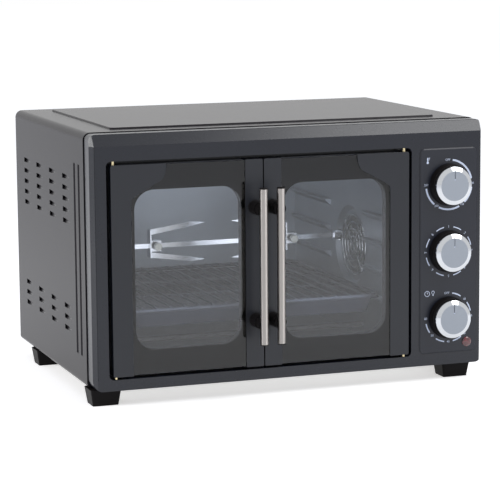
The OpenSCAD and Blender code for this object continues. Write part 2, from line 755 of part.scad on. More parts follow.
coupling_x = cav_x1 - 5;
coupling_len = 40;
rod_gap = 3.2;           // from the left wall to the rod's end
journal_len = 13;
collar_r = 5.5;
collar_len = 3.5;
socket_d = 13;           // how deep the rod stands in the coupling
module spit_rod() color("silver") in_body() translate([cav_x0 + rod_gap, spit_y, spit_z]) {
    h = spit_side / 2;
    rod_x(0, journal_len, spit_journal_r);
    rod_x(journal_len - 2, journal_len - 2 + collar_len, collar_r);
    box([journal_len - 0.2, -h, -h], [coupling_x + socket_d - cav_x0 - rod_gap, h, h]);
}

// One prong, along x: a strip with a flange on its outer edge, then a flat spear point
module prong() {
    flange_end = prong_len - spear_len;
    root = fork_h / 2;
    spear = prong_rise - 1;
    slab(-fork_t / 2, fork_t / 2) polygon([[0, root - prong_w], [0, root], [flange_end, spear + spear_w / 2],
        [prong_len, prong_rise], [flange_end, spear - spear_w / 2]]);
    slab(-fork_t / 2, prong_flange) polygon([[0, root - fork_t], [0, root],
        [flange_end, spear + spear_w / 2], [flange_end, spear + spear_w / 2 - fork_t]]);
}

// Fork: an upright strap on a clamp block, with two prongs that point along dir
module spit_fork(x, dir) in_body() translate([x, spit_y, spit_z]) {
    bore = spit_side / 2 + 0.1;
    difference() {
        union() {
            box([-fork_t, -fork_w / 2, fork_lift - fork_h / 2], [0, fork_w / 2, fork_lift + fork_h / 2]);
            box([-fork_t, -fork_w / 2, -fork_w / 2], [clamp_len, fork_w / 2, fork_w / 2]);
        }
        box([-fork_t - 1, -bore, -bore], [clamp_len + 1, bore, bore]);
        translate([clamp_len / 2, 0, 0]) rod_y(-fork_w / 2 - 1, 0, clamp_screw_r + run_fit);
    }
    translate([-fork_t / 2, 0, fork_lift]) mirror([dir < 0 ? 1 : 0, 0, 0])
        for (s = [0, 1]) mirror([0, 0, s]) prong();
}
module spit_fork_left() color("silver") spit_fork(fork_x[0], 1);
module spit_fork_right() color("silver") spit_fork(fork_x[1], -1);

// Thumb screws in the fronts of the clamp blocks
clamp_screw_r = 2;
thumb_r = 5;
thumb_h = 6;
thumb_out = 4;           // from the clamp block to the screw's head
module fork_screws() color("silver") in_body() for (x = fork_x)
    translate([x + clamp_len / 2, spit_y, spit_z]) rotate([90, 0, 0]) {
        head = fork_w / 2 + thumb_out;
        translate([0, 0, spit_side / 2 + 0.1]) cylinder(h = head - spit_side / 2, r = clamp_screw_r, $fn = 24);
        translate([0, 0, head]) difference() {
            cylinder(h = thumb_h, r = thumb_r, $fn = 32);
            for (a = [0:30:330]) rotate([0, 0, a]) translate([thumb_r + 0.4, 0, -1])
                cylinder(h = thumb_h + 2, r = 0.9, $fn = 16);
        }
    }

// Coupling: a square socket for the rod and a round shaft into the motor
module spit_coupling() color("#b8b9bb") in_body() translate([coupling_x, spit_y, spit_z]) difference() {
    union() {
        rod_x(0, coupling_len, coupling_r);
        rod_x(coupling_len, coupling_len + 20, 4);
    }
    box([-1, -spit_side / 2 - 0.15, -spit_side / 2 - 0.15], [13.5, spit_side / 2 + 0.15, spit_side / 2 + 0.15]);
}

module spit_motor() color("#8d8f94") in_body() {
    x0 = coupling_x + coupling_len + 1;
    x_wall = cav_x1 + cav_t;
    translate([0, spit_y, spit_z]) difference() {
        union() {
            rod_x(x0, x0 + 6, 8);
            rod_x(x0 + 4, x0 + 16, 22);
            rod_x(x0 + 16, x0 + 34, 24);
            // Bracket on two legs against the wall
            for (s = [-1, 1]) {
                box([x_wall, 2, s * 30 - 1.5], [x0 + 6, 12, s * 30 + 1.5]);
                box([x_wall, 2, s * 30 - 5], [x_wall + 1.5, 12, s * 30 + 5]);
                box([x0 + 4.5, 2, min(s * 18, s * 31.5)], [x0 + 6, 12, max(s * 18, s * 31.5)]);
            }
        }
        rod_x(x0 - 1, x0 + 20, 4 + run_fit);
    }
}

// Cradle with an open top, so that the spit lifts out
module spit_support() color("silver") in_body() translate([cav_x0, spit_y, spit_z]) difference() {
    union() {
        box([0, -11, -16], [1.2, 11, 9]);
        box([0, -8, -9], [11, 8, 6]);
    }
    rod_x(2.8, 12, spit_journal_r + run_fit);
    box([2.8, -spit_journal_r - run_fit, 0], [12, spit_journal_r + run_fit, 12]);
    for (y = [-8.5, 8.5]) translate([0, y, -12]) rod_x(-1, 2, 1.2);
}

// ---------- lamp ----------

lamp_y = cav_y1 - 40;
lamp_z = cav_z1 - 34;
lamp_r = 17;
module lamp_glass() color("#e8e4d8", 0.5) in_body() translate([cav_x1, lamp_y, lamp_z]) rotate([0, -90, 0])
    rotate_extrude($fn = 48)
        polygon([[0, 2.2], [14, 1.6], [16.4, 0.4], [16.8, 0], [20, 0], [20, 1], [17.2, 1.8], [14.4, 3], [0, 3.6]]);
module lamp_holder() color("#9a9c9e") in_body() translate([cav_x1 + cav_t, lamp_y, lamp_z]) difference() {
    rod_x(0, 34, 18.5);
    rod_x(-1, 32.5, 16.5);
    rod_x(30, 36, 5);
}

// ---------- switches ----------

// A switch body seated on the back of the front face, with a bore for its knob's shaft
module switch_body(i, r, len) in_body() translate([knob_x, sheet_t, knob_z[i]]) difference() {
    union() {
        rod_y(0, 4, 9);
        children();
        rod_y(4, 4 + len, r);
        // Terminals
        for (x = [-10, 0, 10], z = [-8, 8]) translate([x - 3, 3 + len, z - 0.4]) cube([6, 9, 0.8]);
    }
    rod_y(-1, 16, shaft_r + run_fit);
}
module thermostat() color("#b9b4a4") switch_body(0, 15, 20) box([-20, 3, -14], [20, 5, 14]);
module function_switch() color("#b9b4a4") switch_body(1, 17, 24) box([-20, 3, -20], [20, 12, 20]);
module timer() color("#b9b4a4") switch_body(2, 16, 14) box([-24, 3, -22], [24, 22, 22]);

// ---------- knobs ----------

// Skirt with the switch shaft that it is pressed on
module knob_skirt(i) in_body() translate([knob_x, 0, knob_z[i]]) {
    rotate([90, 0, 0]) rotate_extrude($fn = 96)
        polygon([[0, -skirt_back + 3], [8, -skirt_back + 3], [8, -skirt_back], [skirt_d / 2 - 0.8, -skirt_back],
                 [skirt_d / 2, -skirt_back + 0.8], [cap_d / 2 + 1.4, -skirt_front - 0.6],
                 [cap_d / 2 + 0.8, -skirt_front], [0, -skirt_front]]);
    rod_y(skirt_back - 4, 14, shaft_r);
}

// Chrome cap: rounded rim, slightly sunk face and a pointer groove
pointer_w = 1.2;
module knob_cap(i) in_body() translate([knob_x, 0, knob_z[i]]) difference() {
    r = cap_d / 2;
    rotate([90, 0, 0]) rotate_extrude($fn = 96)
        polygon(concat([[0, -skirt_front], [r, -skirt_front]],
            [for (a = [0:15:90]) [r - 1.6 + 1.6 * cos(a), -cap_front - 1.6 + 1.6 * sin(a)]],
            [[r - 4.4, -cap_front - 0.3], [r - 4.8, -cap_front - 0.7], [0, -cap_front - 0.7]]));
    box([-pointer_w / 2, cap_front - eps, 8], [pointer_w / 2, cap_front + 1.2, r - 1.8]);
}
module temperature_skirt() color("#191a1c") knob_skirt(0);
module temperature_cap() color("silver") knob_cap(0);
module function_skirt() color("#191a1c") knob_skirt(1);
module function_cap() color("silver") knob_cap(1);
module timer_skirt() color("#191a1c") knob_skirt(2);
module timer_cap() color("silver") knob_cap(2);

module indicator_lens() color("#7d0f1c") in_body() translate([lens_x, 0, lens_z]) rotate([90, 0, 0])
    rotate_extrude($fn = 48) polygon(concat([[0, -14], [lens_d / 2 - 1, -14], [lens_d / 2 - 1, panel_t],
        [lens_d / 2, panel_t], [lens_d / 2, panel_t + 1.2]],
        [for (a = [15:15:90]) [(lens_d / 2 - 0.6) * cos(a), panel_t + 1.2 + 1.6 * sin(a)]]));

// ---------- doors ----------

// The door frame has x from the hinge edge to the meeting edge and z from its lower edge.
// The right door is the mirror of the left one.
module in_door(side) in_body() translate([open_xm, 0, door_z0]) mirror([side > 0 ? 1 : 0, 0, 0])
    translate([-opening_w / 2 + door_gap_side, 0, 0]) children();

module window_outline(grow) polygon(round_rect([window_side - grow, window_low - grow],
    [window_side + window_w + grow, window_low + window_h + grow], window_r + grow, window_r + grow));

// Pressed frame behind the glass: a channel round the window
module door_frame(side) in_door(side) difference() {
    slab(glass_back, door_back)
        polygon(round_rect([hinge_block_w, 0], [door_w - stile_w, door_h], 2, 2));
    slab(glass_back - eps, door_back + eps) window_outline(0);
    difference() {
        slab(glass_back + 2, door_back + eps)
            polygon(round_rect([hinge_block_w + 2, 2], [door_w - stile_w - 2, door_h - 2], 2, 2));
        slab(glass_back, door_back + 2) window_outline(2);
    }
}

module door_glass(side) in_door(side)
    slab(-glass_proud, glass_back) polygon(round_rect([hinge_block_w, glass_edge],
        [door_w - stile_w, door_h - glass_edge], 2, 2));

module bar_form() translate([handle_x, -bar_out, door_h / 2 - bar_len / 2])
    cylinder(h = bar_len, r = bar_r, $fn = 48);

module door_stile(side) in_door(side) difference() {
    slab(trim_front, door_back) polygon(round_rect([door_w - stile_w, 0], [door_w, door_h], 1.5, 1.5));
    slab(glass_back, door_back + eps) polygon(round_rect([door_w - stile_w + 3, 3], [door_w - 2.5, door_h - 3], 2, 2));
}

// Hinge trim: a block that turns on the pins, with a flared face plate over the glass
module hinge_trim(side) in_door(side) difference() {
    union() {
        slab(trim_front, door_back) polygon(round_rect([0, 0], [hinge_block_w, door_h], 2, 2));
        slab(trim_front, -glass_proud) polygon(flare_outline());
    }
    for (z = [-eps, door_h - pin_in_door])
        translate([pin_in, pin_back, z]) cylinder(h = pin_in_door + eps, r = pin_r + run_fit, $fn = 32);
    // Hollow back between the two pin bearings
    slab(glass_back + 2, door_back + eps) polygon(round_rect([2.5, pin_in_door + 4],
        [hinge_block_w - 2, door_h - pin_in_door - 4], 2, 2));
}

// Outline of the hinge trim: straight, a slope round the window's corner, then a curve up
function flare_outline() =
    let (bend_z = door_h - 40, slope_x = trim_flare_w - 9, slope_z = door_h - 21)
    concat([[2, 0], [trim_w, 0], [trim_w, bend_z - 5], [trim_w + 0.8, bend_z - 1.5],
            [trim_w + 3, bend_z + 1], [slope_x - 4, slope_z - 2.6]],
        [for (a = [15:15:90]) [slope_x + 9 * sin(a), slope_z + 21 * (1 - cos(a))]],
        [[2, door_h]]);

module handle_bar(side) in_door(side) difference() {
    bar_form();
    translate([handle_x, -bar_out, door_h / 2 - bar_len]) cylinder(h = 2 * bar_len, r = bar_bore_r, $fn = 48);
}

module handle_posts(side) in_door(side) for (s = [-1, 1])
    translate([handle_x, 0, door_h / 2 + s * post_pitch / 2]) difference() {
        union() {
            rod_y(-bar_out + 2.4, trim_front, post_d / 2);
            rod_y(-bar_out + bar_r + 6, trim_front, post_d / 2 + 0.8);
        }
        translate([0, -bar_out, -20]) cylinder(h = 40, r = bar_r + 0.05, $fn = 48);
    }

module handle_caps(side) in_door(side) for (s = [-1, 1])
    translate([handle_x, -bar_out, door_h / 2 + s * bar_len / 2]) mirror([0, 0, s < 0 ? 1 : 0])
        rotate_extrude($fn = 48) polygon([[0, -8], [bar_bore_r - 0.05, -8], [bar_bore_r - 0.05, 0],
            [bar_r - 0.2, 0], [bar_r - 0.2, cap_len - 0.6], [bar_r - 0.9, cap_len], [0, cap_len]]);

module left_door_frame() color("#17181c") door_frame(-1);
module left_door_glass() color("#20242a", 0.5) door_glass(-1);
module left_door_stile() color("#1c1e24") door_stile(-1);
module left_hinge_trim() color("#1c1e24") hinge_trim(-1);
module left_handle_bar() color("silver") handle_bar(-1);
module left_handle_posts() color("#141518") handle_posts(-1);
module left_handle_caps() color("#141518") handle_caps(-1);
module right_door_frame() color("#17181c") door_frame(1);
module right_door_glass() color("#20242a", 0.5) door_glass(1);
module right_door_stile() color("#1c1e24") door_stile(1);
module right_hinge_trim() color("#1c1e24") hinge_trim(1);
module right_handle_bar() color("silver") handle_bar(1);
module right_handle_posts() color("#141518") handle_posts(1);
module right_handle_caps() color("#141518") handle_caps(1);

// Four hinge pins, headed outside the opening's flange
pin_seat = sheet_t;
module hinge_pins() color("goldenrod") in_body() for (x = hinge_x) {
    translate([x, pin_back, opening_low + opening_h]) {
        translate([0, 0, -door_gap_top - pin_in_door + 2]) cylinder(h = door_gap_top + pin_in_door - 2 + pin_seat + 1,
            r = pin_r, $fn = 32);
        translate([0, 0, pin_seat]) cylinder(h = 2, r = pin_r + 0.3, $fn = 32);
    }
    translate([x, pin_back, opening_low]) {
        translate([0, 0, -pin_seat - 1]) cylinder(h = door_gap_low + pin_in_door - 2 + pin_seat + 1, r = pin_r, $fn = 32);
        translate([0, 0, -pin_seat - 2]) cylinder(h = 2, r = pin_r + 0.3, $fn = 32);
    }
}

// Magnets on the cavity flange; they hold the doors by their steel frames
magnet_h = 7;
magnet_gap = 0.5;
module door_magnets() color("#2a2a2c") for (side = [-1, 1]) in_door(side)
    box([door_w - stile_w - 20, door_back + magnet_gap, door_h - 1.5 - magnet_h],
        [door_w - stile_w - 4, opening_flange_d, door_h - 1.5]);

outer_shell();
front_frame();
control_panel();
rear_cover();
bottom_plate();
feet();
cavity_flange();
cavity_roof();
cavity_floor();
cavity_back();
cavity_wall_left();
cavity_wall_right();
fan_drum();
upper_elements();
lower_elements();
element_insulators();
wire_rack();
baking_tray();
crumb_tray();
fan_guard();
fan();
fan_motor();
spit_rod();
spit_fork_left();
spit_fork_right();
fork_screws();
spit_coupling();
spit_motor();
spit_support();
lamp_glass();
lamp_holder();
thermostat();
function_switch();
timer();
temperature_skirt();
temperature_cap();
function_skirt();
function_cap();
timer_skirt();
timer_cap();
indicator_lens();
left_door_frame();
left_door_glass();
left_door_stile();
left_hinge_trim();
left_handle_bar();
left_handle_posts();
left_handle_caps();
right_door_frame();
right_door_glass();
right_door_stile();
right_hinge_trim();
right_handle_bar();
right_handle_posts();
right_handle_caps();
hinge_pins();
door_magnets();
cord_gland();
cover_screws();
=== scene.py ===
"""Looks of a countertop convection oven with two glass doors, dial knobs and a rotisserie."""

import json
import math

import bmesh
import bpy
from bpy.props import FloatProperty, FloatVectorProperty, PointerProperty, StringProperty
from mathutils import Matrix, Vector


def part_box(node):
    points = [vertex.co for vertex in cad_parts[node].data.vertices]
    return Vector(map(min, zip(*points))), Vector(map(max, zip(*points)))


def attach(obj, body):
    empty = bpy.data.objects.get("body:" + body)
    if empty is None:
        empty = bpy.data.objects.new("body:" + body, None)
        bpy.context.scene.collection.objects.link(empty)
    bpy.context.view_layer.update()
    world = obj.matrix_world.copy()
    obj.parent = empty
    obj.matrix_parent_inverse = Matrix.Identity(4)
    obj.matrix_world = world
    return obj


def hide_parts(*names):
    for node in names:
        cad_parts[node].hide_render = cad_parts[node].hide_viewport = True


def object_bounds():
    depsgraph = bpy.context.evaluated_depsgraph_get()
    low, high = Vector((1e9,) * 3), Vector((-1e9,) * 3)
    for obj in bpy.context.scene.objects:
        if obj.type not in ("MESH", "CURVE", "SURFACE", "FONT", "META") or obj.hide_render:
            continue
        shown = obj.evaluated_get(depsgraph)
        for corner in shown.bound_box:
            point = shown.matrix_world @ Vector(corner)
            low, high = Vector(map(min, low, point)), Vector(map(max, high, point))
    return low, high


bl_info = {
    "name": "Convection oven looks",
    "version": (1, 0, 0),
    "blender": (4, 5, 0),
    "location": "View3D > Sidebar > Oven",
    "description": "Dresses the convection oven's solids with finishes, dial prints and small pieces",
    "category": "Object",
}

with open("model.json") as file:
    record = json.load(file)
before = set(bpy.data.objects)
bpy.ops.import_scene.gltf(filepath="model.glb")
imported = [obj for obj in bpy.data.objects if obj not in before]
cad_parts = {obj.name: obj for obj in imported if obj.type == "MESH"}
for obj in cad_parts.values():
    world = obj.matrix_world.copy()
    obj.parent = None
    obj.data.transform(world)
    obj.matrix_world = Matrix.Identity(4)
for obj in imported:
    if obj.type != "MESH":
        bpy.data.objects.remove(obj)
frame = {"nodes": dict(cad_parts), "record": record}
NODES = frame["nodes"]
CAD_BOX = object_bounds()
MM = 0.001

# Painted seam shade: how far the ambient occlusion reaches, and the near-black colour and high roughness painted into
# seams and inner corners as shade
SEAM_SHADE_REACH_MM = 4
SEAM_SHADE_COLOUR = "#040406"
SEAM_SHADE_ROUGHNESS = 0.9
# Specular levels under the white room, far below the materials' own 0.5
DULLED_SPECULAR = 0.07
DULLED_GLASS_SPECULAR = 0.03
# Knob caps: sides of the lathe, and the angle above which an edge stays sharp
CAP_TURNS = 128
CAP_SHARP_ANGLE = 12
# Pointer dots: from the knob's axis, thickness, and depth behind the cap's face
DOT_FROM_AXIS = 7.9 * MM
DOT_FILM = 0.1 * MM
DOT_SUNK = 0.04 * MM
# Floor: half width in metres, paper colour, and the lift that brings lit paper to white
FLOOR_HALF = 12
PAPER_COLOUR = "#f8f8f8"
PAPER_GLOW_COLOUR = "#fffdfb"
PAPER_GLOW = 0.56


# ---------- colour, nodes and meshes ----------

def linear(hex_colour):
    """The linear RGBA value of an sRGB colour such as #1b1e26."""
    channels = [int(hex_colour[i:i + 2], 16) / 255 for i in (1, 3, 5)]
    rgb = [c / 12.92 if c <= 0.04045 else ((c + 0.055) / 1.055) ** 2.4 for c in channels]
    return (*rgb, 1.0)


def add(tree, kind, inputs=None, **settings):
    """Adds a node; settings are its attributes, inputs its socket values or the sockets that feed them."""
    node = tree.nodes.new(kind)
    for name, value in settings.items():
        setattr(node, name, value)
    for name, value in (inputs or {}).items():
        if isinstance(value, bpy.types.NodeSocket):
            tree.links.new(value, node.inputs[name])
        else:
            node.inputs[name].default_value = value
    return node


def new_material(name):
    """An empty node material and its output node."""
    material = bpy.data.materials.new(name)
    material.use_nodes = True
    material.node_tree.nodes.clear()
    return material, material.node_tree, material.node_tree.nodes.new("ShaderNodeOutputMaterial")


def place(tree, stretch=(1, 1, 1)):
    """The surface's own position in metres, stretched along its axes."""
    coords = add(tree, "ShaderNodeTexCoord")
    return add(tree, "ShaderNodeMapping", {"Vector": coords.outputs["Object"], "Scale": stretch}).outputs[0]


def grain(tree, size_mm, detail=2.0, stretch=(1, 1, 1)):
    """Noise whose features are about size_mm across."""
    return add(tree, "ShaderNodeTexNoise", {
        "Vector": place(tree, stretch), "Scale": 1 / (size_mm * MM), "Detail": detail, "Roughness": 0.55,
    }).outputs["Fac"]


def spread(tree, fac, low, high):
    """Maps a 0 to 1 value to the range low to high."""
    return add(tree, "ShaderNodeMapRange", {"Value": fac, "To Min": low, "To Max": high}).outputs[0]


def ramp(tree, value, start, stop):
    """0 to 1, softly, while the value goes from start to stop."""
    return add(tree, "ShaderNodeMapRange", {
        "Value": value, "From Min": start, "From Max": stop}, interpolation_type="SMOOTHSTEP").outputs[0]


def shade(tree, fac, dark, light):
    """A colour between two hex colours."""
    mix = add(tree, "ShaderNodeMix", {"Factor": fac, 6: linear(dark), 7: linear(light)}, data_type="RGBA")
    return mix.outputs[2]


def unshaded_share(tree):
    """1 where nothing stands close to the surface, falling to 0 in seams and inner corners: the mask of the painted
    shade.
    """
    unshaded = add(tree, "ShaderNodeAmbientOcclusion", {"Distance": SEAM_SHADE_REACH_MM * MM}, samples=8).outputs["AO"]
    return ramp(tree, unshaded, 0.4, 0.85)


def with_painted_seam_shade(tree, unshaded, colour, rough):
    """A colour and a roughness with painted shade: they turn black and dull in seams and inner corners, where ambient
    occlusion closes in.
    """
    dark = add(tree, "ShaderNodeMix", {"Factor": unshaded, 6: linear(SEAM_SHADE_COLOUR), 7: colour}, data_type="RGBA").outputs[2]
    dull = add(tree, "ShaderNodeMix", {"Factor": unshaded, 2: SEAM_SHADE_ROUGHNESS, 3: rough}, data_type="FLOAT").outputs[0]
    return dark, dull


def bumped(tree, height, depth_mm, edge_mm=0.0):
    """A normal with the height's relief, and edges rounded by edge_mm."""
    inputs = {"Height": height, "Strength": 1.0, "Distance": depth_mm * MM}
    if edge_mm:
        inputs["Normal"] = add(tree, "ShaderNodeBevel", {"Radius": edge_mm * MM}, samples=6).outputs[0]
    return add(tree, "ShaderNodeBump", inputs).outputs[0]


def built(name, build):
    """An object of the scene whose mesh a function builds."""
    mesh = bpy.data.meshes.new(name)
    bm = bmesh.new()
    build(bm)
    bmesh.ops.recalc_face_normals(bm, faces=bm.faces)
    bm.to_mesh(mesh)
    bm.free()
    piece = bpy.data.objects.new(name, mesh)
    bpy.context.scene.collection.objects.link(piece)
    return piece


def mesh_piece(name, build, material, body):
    """A new piece from a bmesh built by a function, riding on a body."""
    piece = built(name, build)
    piece.data.materials.append(material)
    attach(piece, body)
    return piece


def smooth(piece, angle=35):
    """Smooth shading, with edges sharper than the angle kept."""
    for polygon in piece.data.polygons:
        polygon.use_smooth = True
    piece.data.set_sharp_from_angle(angle=math.radians(angle))


def lathe(bm, profile, turns=64):
    """Revolves (radius, depth) points about the Y axis; depth is measured towards the front, -Y."""
    rings = []
    for radius, depth in profile:
        if radius < 1e-9:
            rings.append([bm.verts.new((0, -depth, 0))])
            continue
        rings.append([bm.verts.new((radius * math.cos(a), -depth, radius * math.sin(a)))
                      for a in (2 * math.pi * i / turns for i in range(turns))])
    for low, high in zip(rings, rings[1:]):
        for i in range(turns):
            j = (i + 1) % turns
            corners = [low[i % len(low)], low[j % len(low)], high[j % len(high)], high[i % len(high)]]
            bm.faces.new(list(dict.fromkeys(corners)))


def shift(bm, offset):
    bmesh.ops.translate(bm, verts=bm.verts, vec=Vector(offset))


def centre(node):
    low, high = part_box(node)
    return [(a + b) / 2 for a, b in zip(low, high)]


# ---------- sizes, colours and studio values that a user may change ----------

PANEL_LOW, PANEL_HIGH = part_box("control_panel")
KNOBS = ("temperature", "function", "timer")


def colour_field(name, description, hex_colour):
    """A colour property, with an sRGB hex default."""
    return StringProperty(name=name, description=description, default=hex_colour)


class OvenFinishColours(bpy.types.PropertyGroup):
    """Colours of the oven's finishes, as sRGB hex values."""

    shell: colour_field("Shell", "Powder coat of the shell and the covers", "#262428")
    frame: colour_field("Frame", "Baked paint of the front frame and the control field", "#11151f")
    plastic: colour_field("Plastic", "Moulded knob skirts, feet and handle posts", "#161415")
    glass: colour_field("Glass", "Tint of the door glass", "#e4e8ee")
    ink: colour_field("Ink", "Printing ink of the dials", "#dfe8fb")
    lens: colour_field("Lens", "Indicator lens", "#7d1024")


class OvenPrintSizes(bpy.types.PropertyGroup):
    """Sizes of the dial prints and the marks on the knobs."""

    arc_radius: FloatProperty(
        name="Arc radius", description="Middle of the printed arcs from the knob's axis",
        default=31 * MM, unit="LENGTH")
    arc_width: FloatProperty(
        name="Arc width", description="Stroke of the temperature dial's arcs", default=2.3 * MM, unit="LENGTH")
    figure_height: FloatProperty(
        name="Figure height", description="Height of the printed figures", default=3.2 * MM, unit="LENGTH")
    ink_thickness: FloatProperty(
        name="Ink thickness", description="Film of ink on the panel", default=0.05 * MM, unit="LENGTH")
    dot_radius: FloatProperty(
        name="Pointer dot radius", description="Filled dot at a pointer's inner end",
        default=0.7 * MM, unit="LENGTH")


class OvenSeamSizes(bpy.types.PropertyGroup):
    """Sizes of the joint between the front frame and the shell."""

    step: FloatProperty(
        name="Step", description="Rim of the frame inside the shell's outer face", default=1.2 * MM, unit="LENGTH")
    reach: FloatProperty(
        name="Reach", description="Width of the frame's edge that is pressed in", default=8 * MM, unit="LENGTH")


class OvenKnobSizes(bpy.types.PropertyGroup):
    """Sizes of the knobs' chromed caps."""

    bevel_width: FloatProperty(
        name="Bevel width", description="Mirror bevel round the satin face", default=5.2 * MM, unit="LENGTH")
    bevel_height: FloatProperty(
        name="Bevel height", description="Fall of the bevel from the face to the side", default=2.7 * MM, unit="LENGTH")
    edge: FloatProperty(
        name="Edge", description="Rounding where the face meets the bevel", default=0.25 * MM, unit="LENGTH")
    pointer_width: FloatProperty(
        name="Pointer width", description="Groove cut for the pointer", default=1.2 * MM, unit="LENGTH")
    pointer_depth: FloatProperty(
        name="Pointer depth", description="Depth of the groove below the face", default=1.0 * MM, unit="LENGTH")
    pointer_start: FloatProperty(
        name="Pointer start", description="Inner end of the groove from the axis", default=8.3 * MM, unit="LENGTH")


class OvenStudio(bpy.types.PropertyGroup):
    """Camera and light of the studio."""

    lens: FloatProperty(name="Lens", description="Camera lens in millimetres", default=157.16)
    distance: FloatProperty(
        name="Distance", description="Camera from its aim point", default=2.8308, unit="LENGTH")
    aim: FloatVectorProperty(
        name="Aim", description="Aim point from the middle of the solids' box", size=3,
        default=(0.0075, 0.013, -0.0133), subtype="TRANSLATION")
    yaw: FloatProperty(
        name="Yaw", description="Camera's turn round the upright axis", default=math.radians(19.574), unit="ROTATION")
    pitch: FloatProperty(
        name="Pitch", description="Camera's tilt below the horizon", default=math.radians(8.635), unit="ROTATION")
    roll: FloatProperty(
        name="Roll", description="Camera's turn about its own axis", default=math.radians(-0.455), unit="ROTATION")
    room: FloatProperty(name="Room light", description="Strength of the even light of the room", default=0.55)
    left: FloatProperty(name="Left soft box", description="Radiance of the soft box on the left", default=7.0)
    right: FloatProperty(
        name="Right soft box", description="Radiance of the soft box above the front right", default=5.5)
    inside: FloatProperty(name="Inside light", description="Radiance of the small fill in the cavity", default=5.0)
    cards: FloatProperty(name="Window cards", description="Radiance of the cards behind the windows", default=0.6)


# ---------- finishes ----------

def principled(tree, output, inputs):
    """The Principled shader with its inputs, joined to the output."""
    shader = add(tree, "ShaderNodeBsdfPrincipled", inputs)
    tree.links.new(shader.outputs[0], output.inputs["Surface"])
    return shader


def colours():
    return bpy.context.scene.oven_colours


def powder_coated_steel():
    """Baked epoxy powder on steel sheet: a satin skin whose fine orange peel breaks up reflections."""
    material, tree, output = new_material("powder_coated_steel")
    base = colours().shell
    peel = grain(tree, 1.1, 3.0)
    cloud = grain(tree, 60)
    # Painted shade: seams and inner corners of the shell turn black and dull by ambient occlusion.
    colour, rough = with_painted_seam_shade(tree, unshaded_share(tree), shade(tree, spread(tree, cloud, 0.3, 0.7), base, "#2b292c"),
                             spread(tree, peel, 0.2, 0.3))
    principled(tree, output, {
        "Base Color": colour,
        "Roughness": rough,
        "IOR": 1.55,
        "Specular IOR Level": DULLED_SPECULAR,
        "Normal": bumped(tree, peel, 0.015, 0.35),
    })
    return material


def baked_paint():
    """Sprayed and baked alkyd paint on steel: smoother than the powder, with soft long reflections."""
    material, tree, output = new_material("baked_paint")
    ripple = grain(tree, 2.4, 2.0)
    paint = shade(tree, spread(tree, grain(tree, 45), 0.25, 0.75), colours().frame, "#141824")
    # Painted shade: seams, creases and inner corners of the frame turn black and dull by ambient occlusion.
    colour, rough = with_painted_seam_shade(tree, unshaded_share(tree), paint, spread(tree, ripple, 0.22, 0.3))
    principled(tree, output, {
        "Base Color": colour,
        "Roughness": rough,
        "IOR": 1.48,
        "Normal": bumped(tree, ripple, 0.008, 0.4),
    })
    return material


def control_field_paint():
    """The same paint with a matt clear coat for printing on: it dulls reflections round the dials."""
    material, tree, output = new_material("control_field_paint")
    fine = grain(tree, 0.9, 2.0)
    principled(tree, output, {
        "Base Color": shade(tree, spread(tree, grain(tree, 45), 0.25, 0.75), colours().frame, "#181c29"),
        "Roughness": spread(tree, fine, 0.3, 0.4),
        "IOR": 1.48,
        "Normal": bumped(tree, fine, 0.006, 0.3),
    })
    return material


def galvanised_sheet():
    """Hot-dip zinc on steel: grey spangles, each reflecting a little differently."""
    material, tree, output = new_material("galvanised_sheet")
    spangle = add(tree, "ShaderNodeTexVoronoi", {"Vector": place(tree), "Scale": 1 / (7 * MM)}).outputs["Color"]
    patch = add(tree, "ShaderNodeSeparateColor", {"Color": spangle}).outputs[0]
    principled(tree, output, {
        "Base Color": shade(tree, patch, "#9b9fa2", "#b4b7b9"),
        "Metallic": 1.0,
        "Roughness": spread(tree, patch, 0.34, 0.5),
        "Normal": bumped(tree, grain(tree, 0.8), 0.01, 0.3),
    })
    return material


def moulded_nylon():
    """Glass-filled nylon from a spark-eroded mould: a fine even texture without a clear reflection."""
    material, tree, output = new_material("moulded_nylon")
    # The real texture is about 0.1 mm; it is drawn at 0.45 mm so that it shows.
    erosion = grain(tree, 0.45, 3.0)
    principled(tree, output, {
        "Base Color": shade(tree, spread(tree, grain(tree, 12), 0.2, 0.8), colours().plastic, "#1a1818"),
        "Roughness": spread(tree, erosion, 0.38, 0.52),
        "IOR": 1.53,
        "Specular IOR Level": DULLED_SPECULAR,
        "Normal": bumped(tree, erosion, 0.015, 0.25),
    })
    return material


def aluminised_sheet():
    """Aluminised steel sheet: a bright grey with rolling marks from front to back."""
    material, tree, output = new_material("aluminised_sheet")
    rolling = grain(tree, 0.7, 3.0, (1, 0.03, 1))
    bloom = grain(tree, 40, 3.0)
    principled(tree, output, {
        "Base Color": shade(tree, bloom, "#a9afb6", "#bdc3ca"),
        "Metallic": 0.85,
        "Roughness": spread(tree, rolling, 0.34, 0.5),
        "Normal": bumped(tree, rolling, 0.008, 0.3),
    })
    return material


def oxidised_tube():
    """Nickel-alloy heater sheath, annealed green-grey: dull, with darker oxide clouds."""
    material, tree, output = new_material("oxidised_tube")
    oxide = grain(tree, 9, 4.0)
    principled(tree, output, {
        "Base Color": shade(tree, oxide, "#4a4944", "#77756d"),
        "Metallic": 0.85,
        "Roughness": spread(tree, oxide, 0.42, 0.6),
        "Normal": bumped(tree, grain(tree, 0.5), 0.01),
    })
    return material


def unglazed_steatite():
    """Pressed and fired steatite: chalky white, slightly speckled."""
    material, tree, output = new_material("unglazed_steatite")
    speck = grain(tree, 0.7, 4.0)
    principled(tree, output, {
        "Base Color": shade(tree, speck, "#cfcabd", "#e6e2d8"),
        "Roughness": 0.8,
        "IOR": 1.55,
        "Specular IOR Level": DULLED_SPECULAR,
        "Normal": bumped(tree, speck, 0.03, 0.3),
    })
    return material


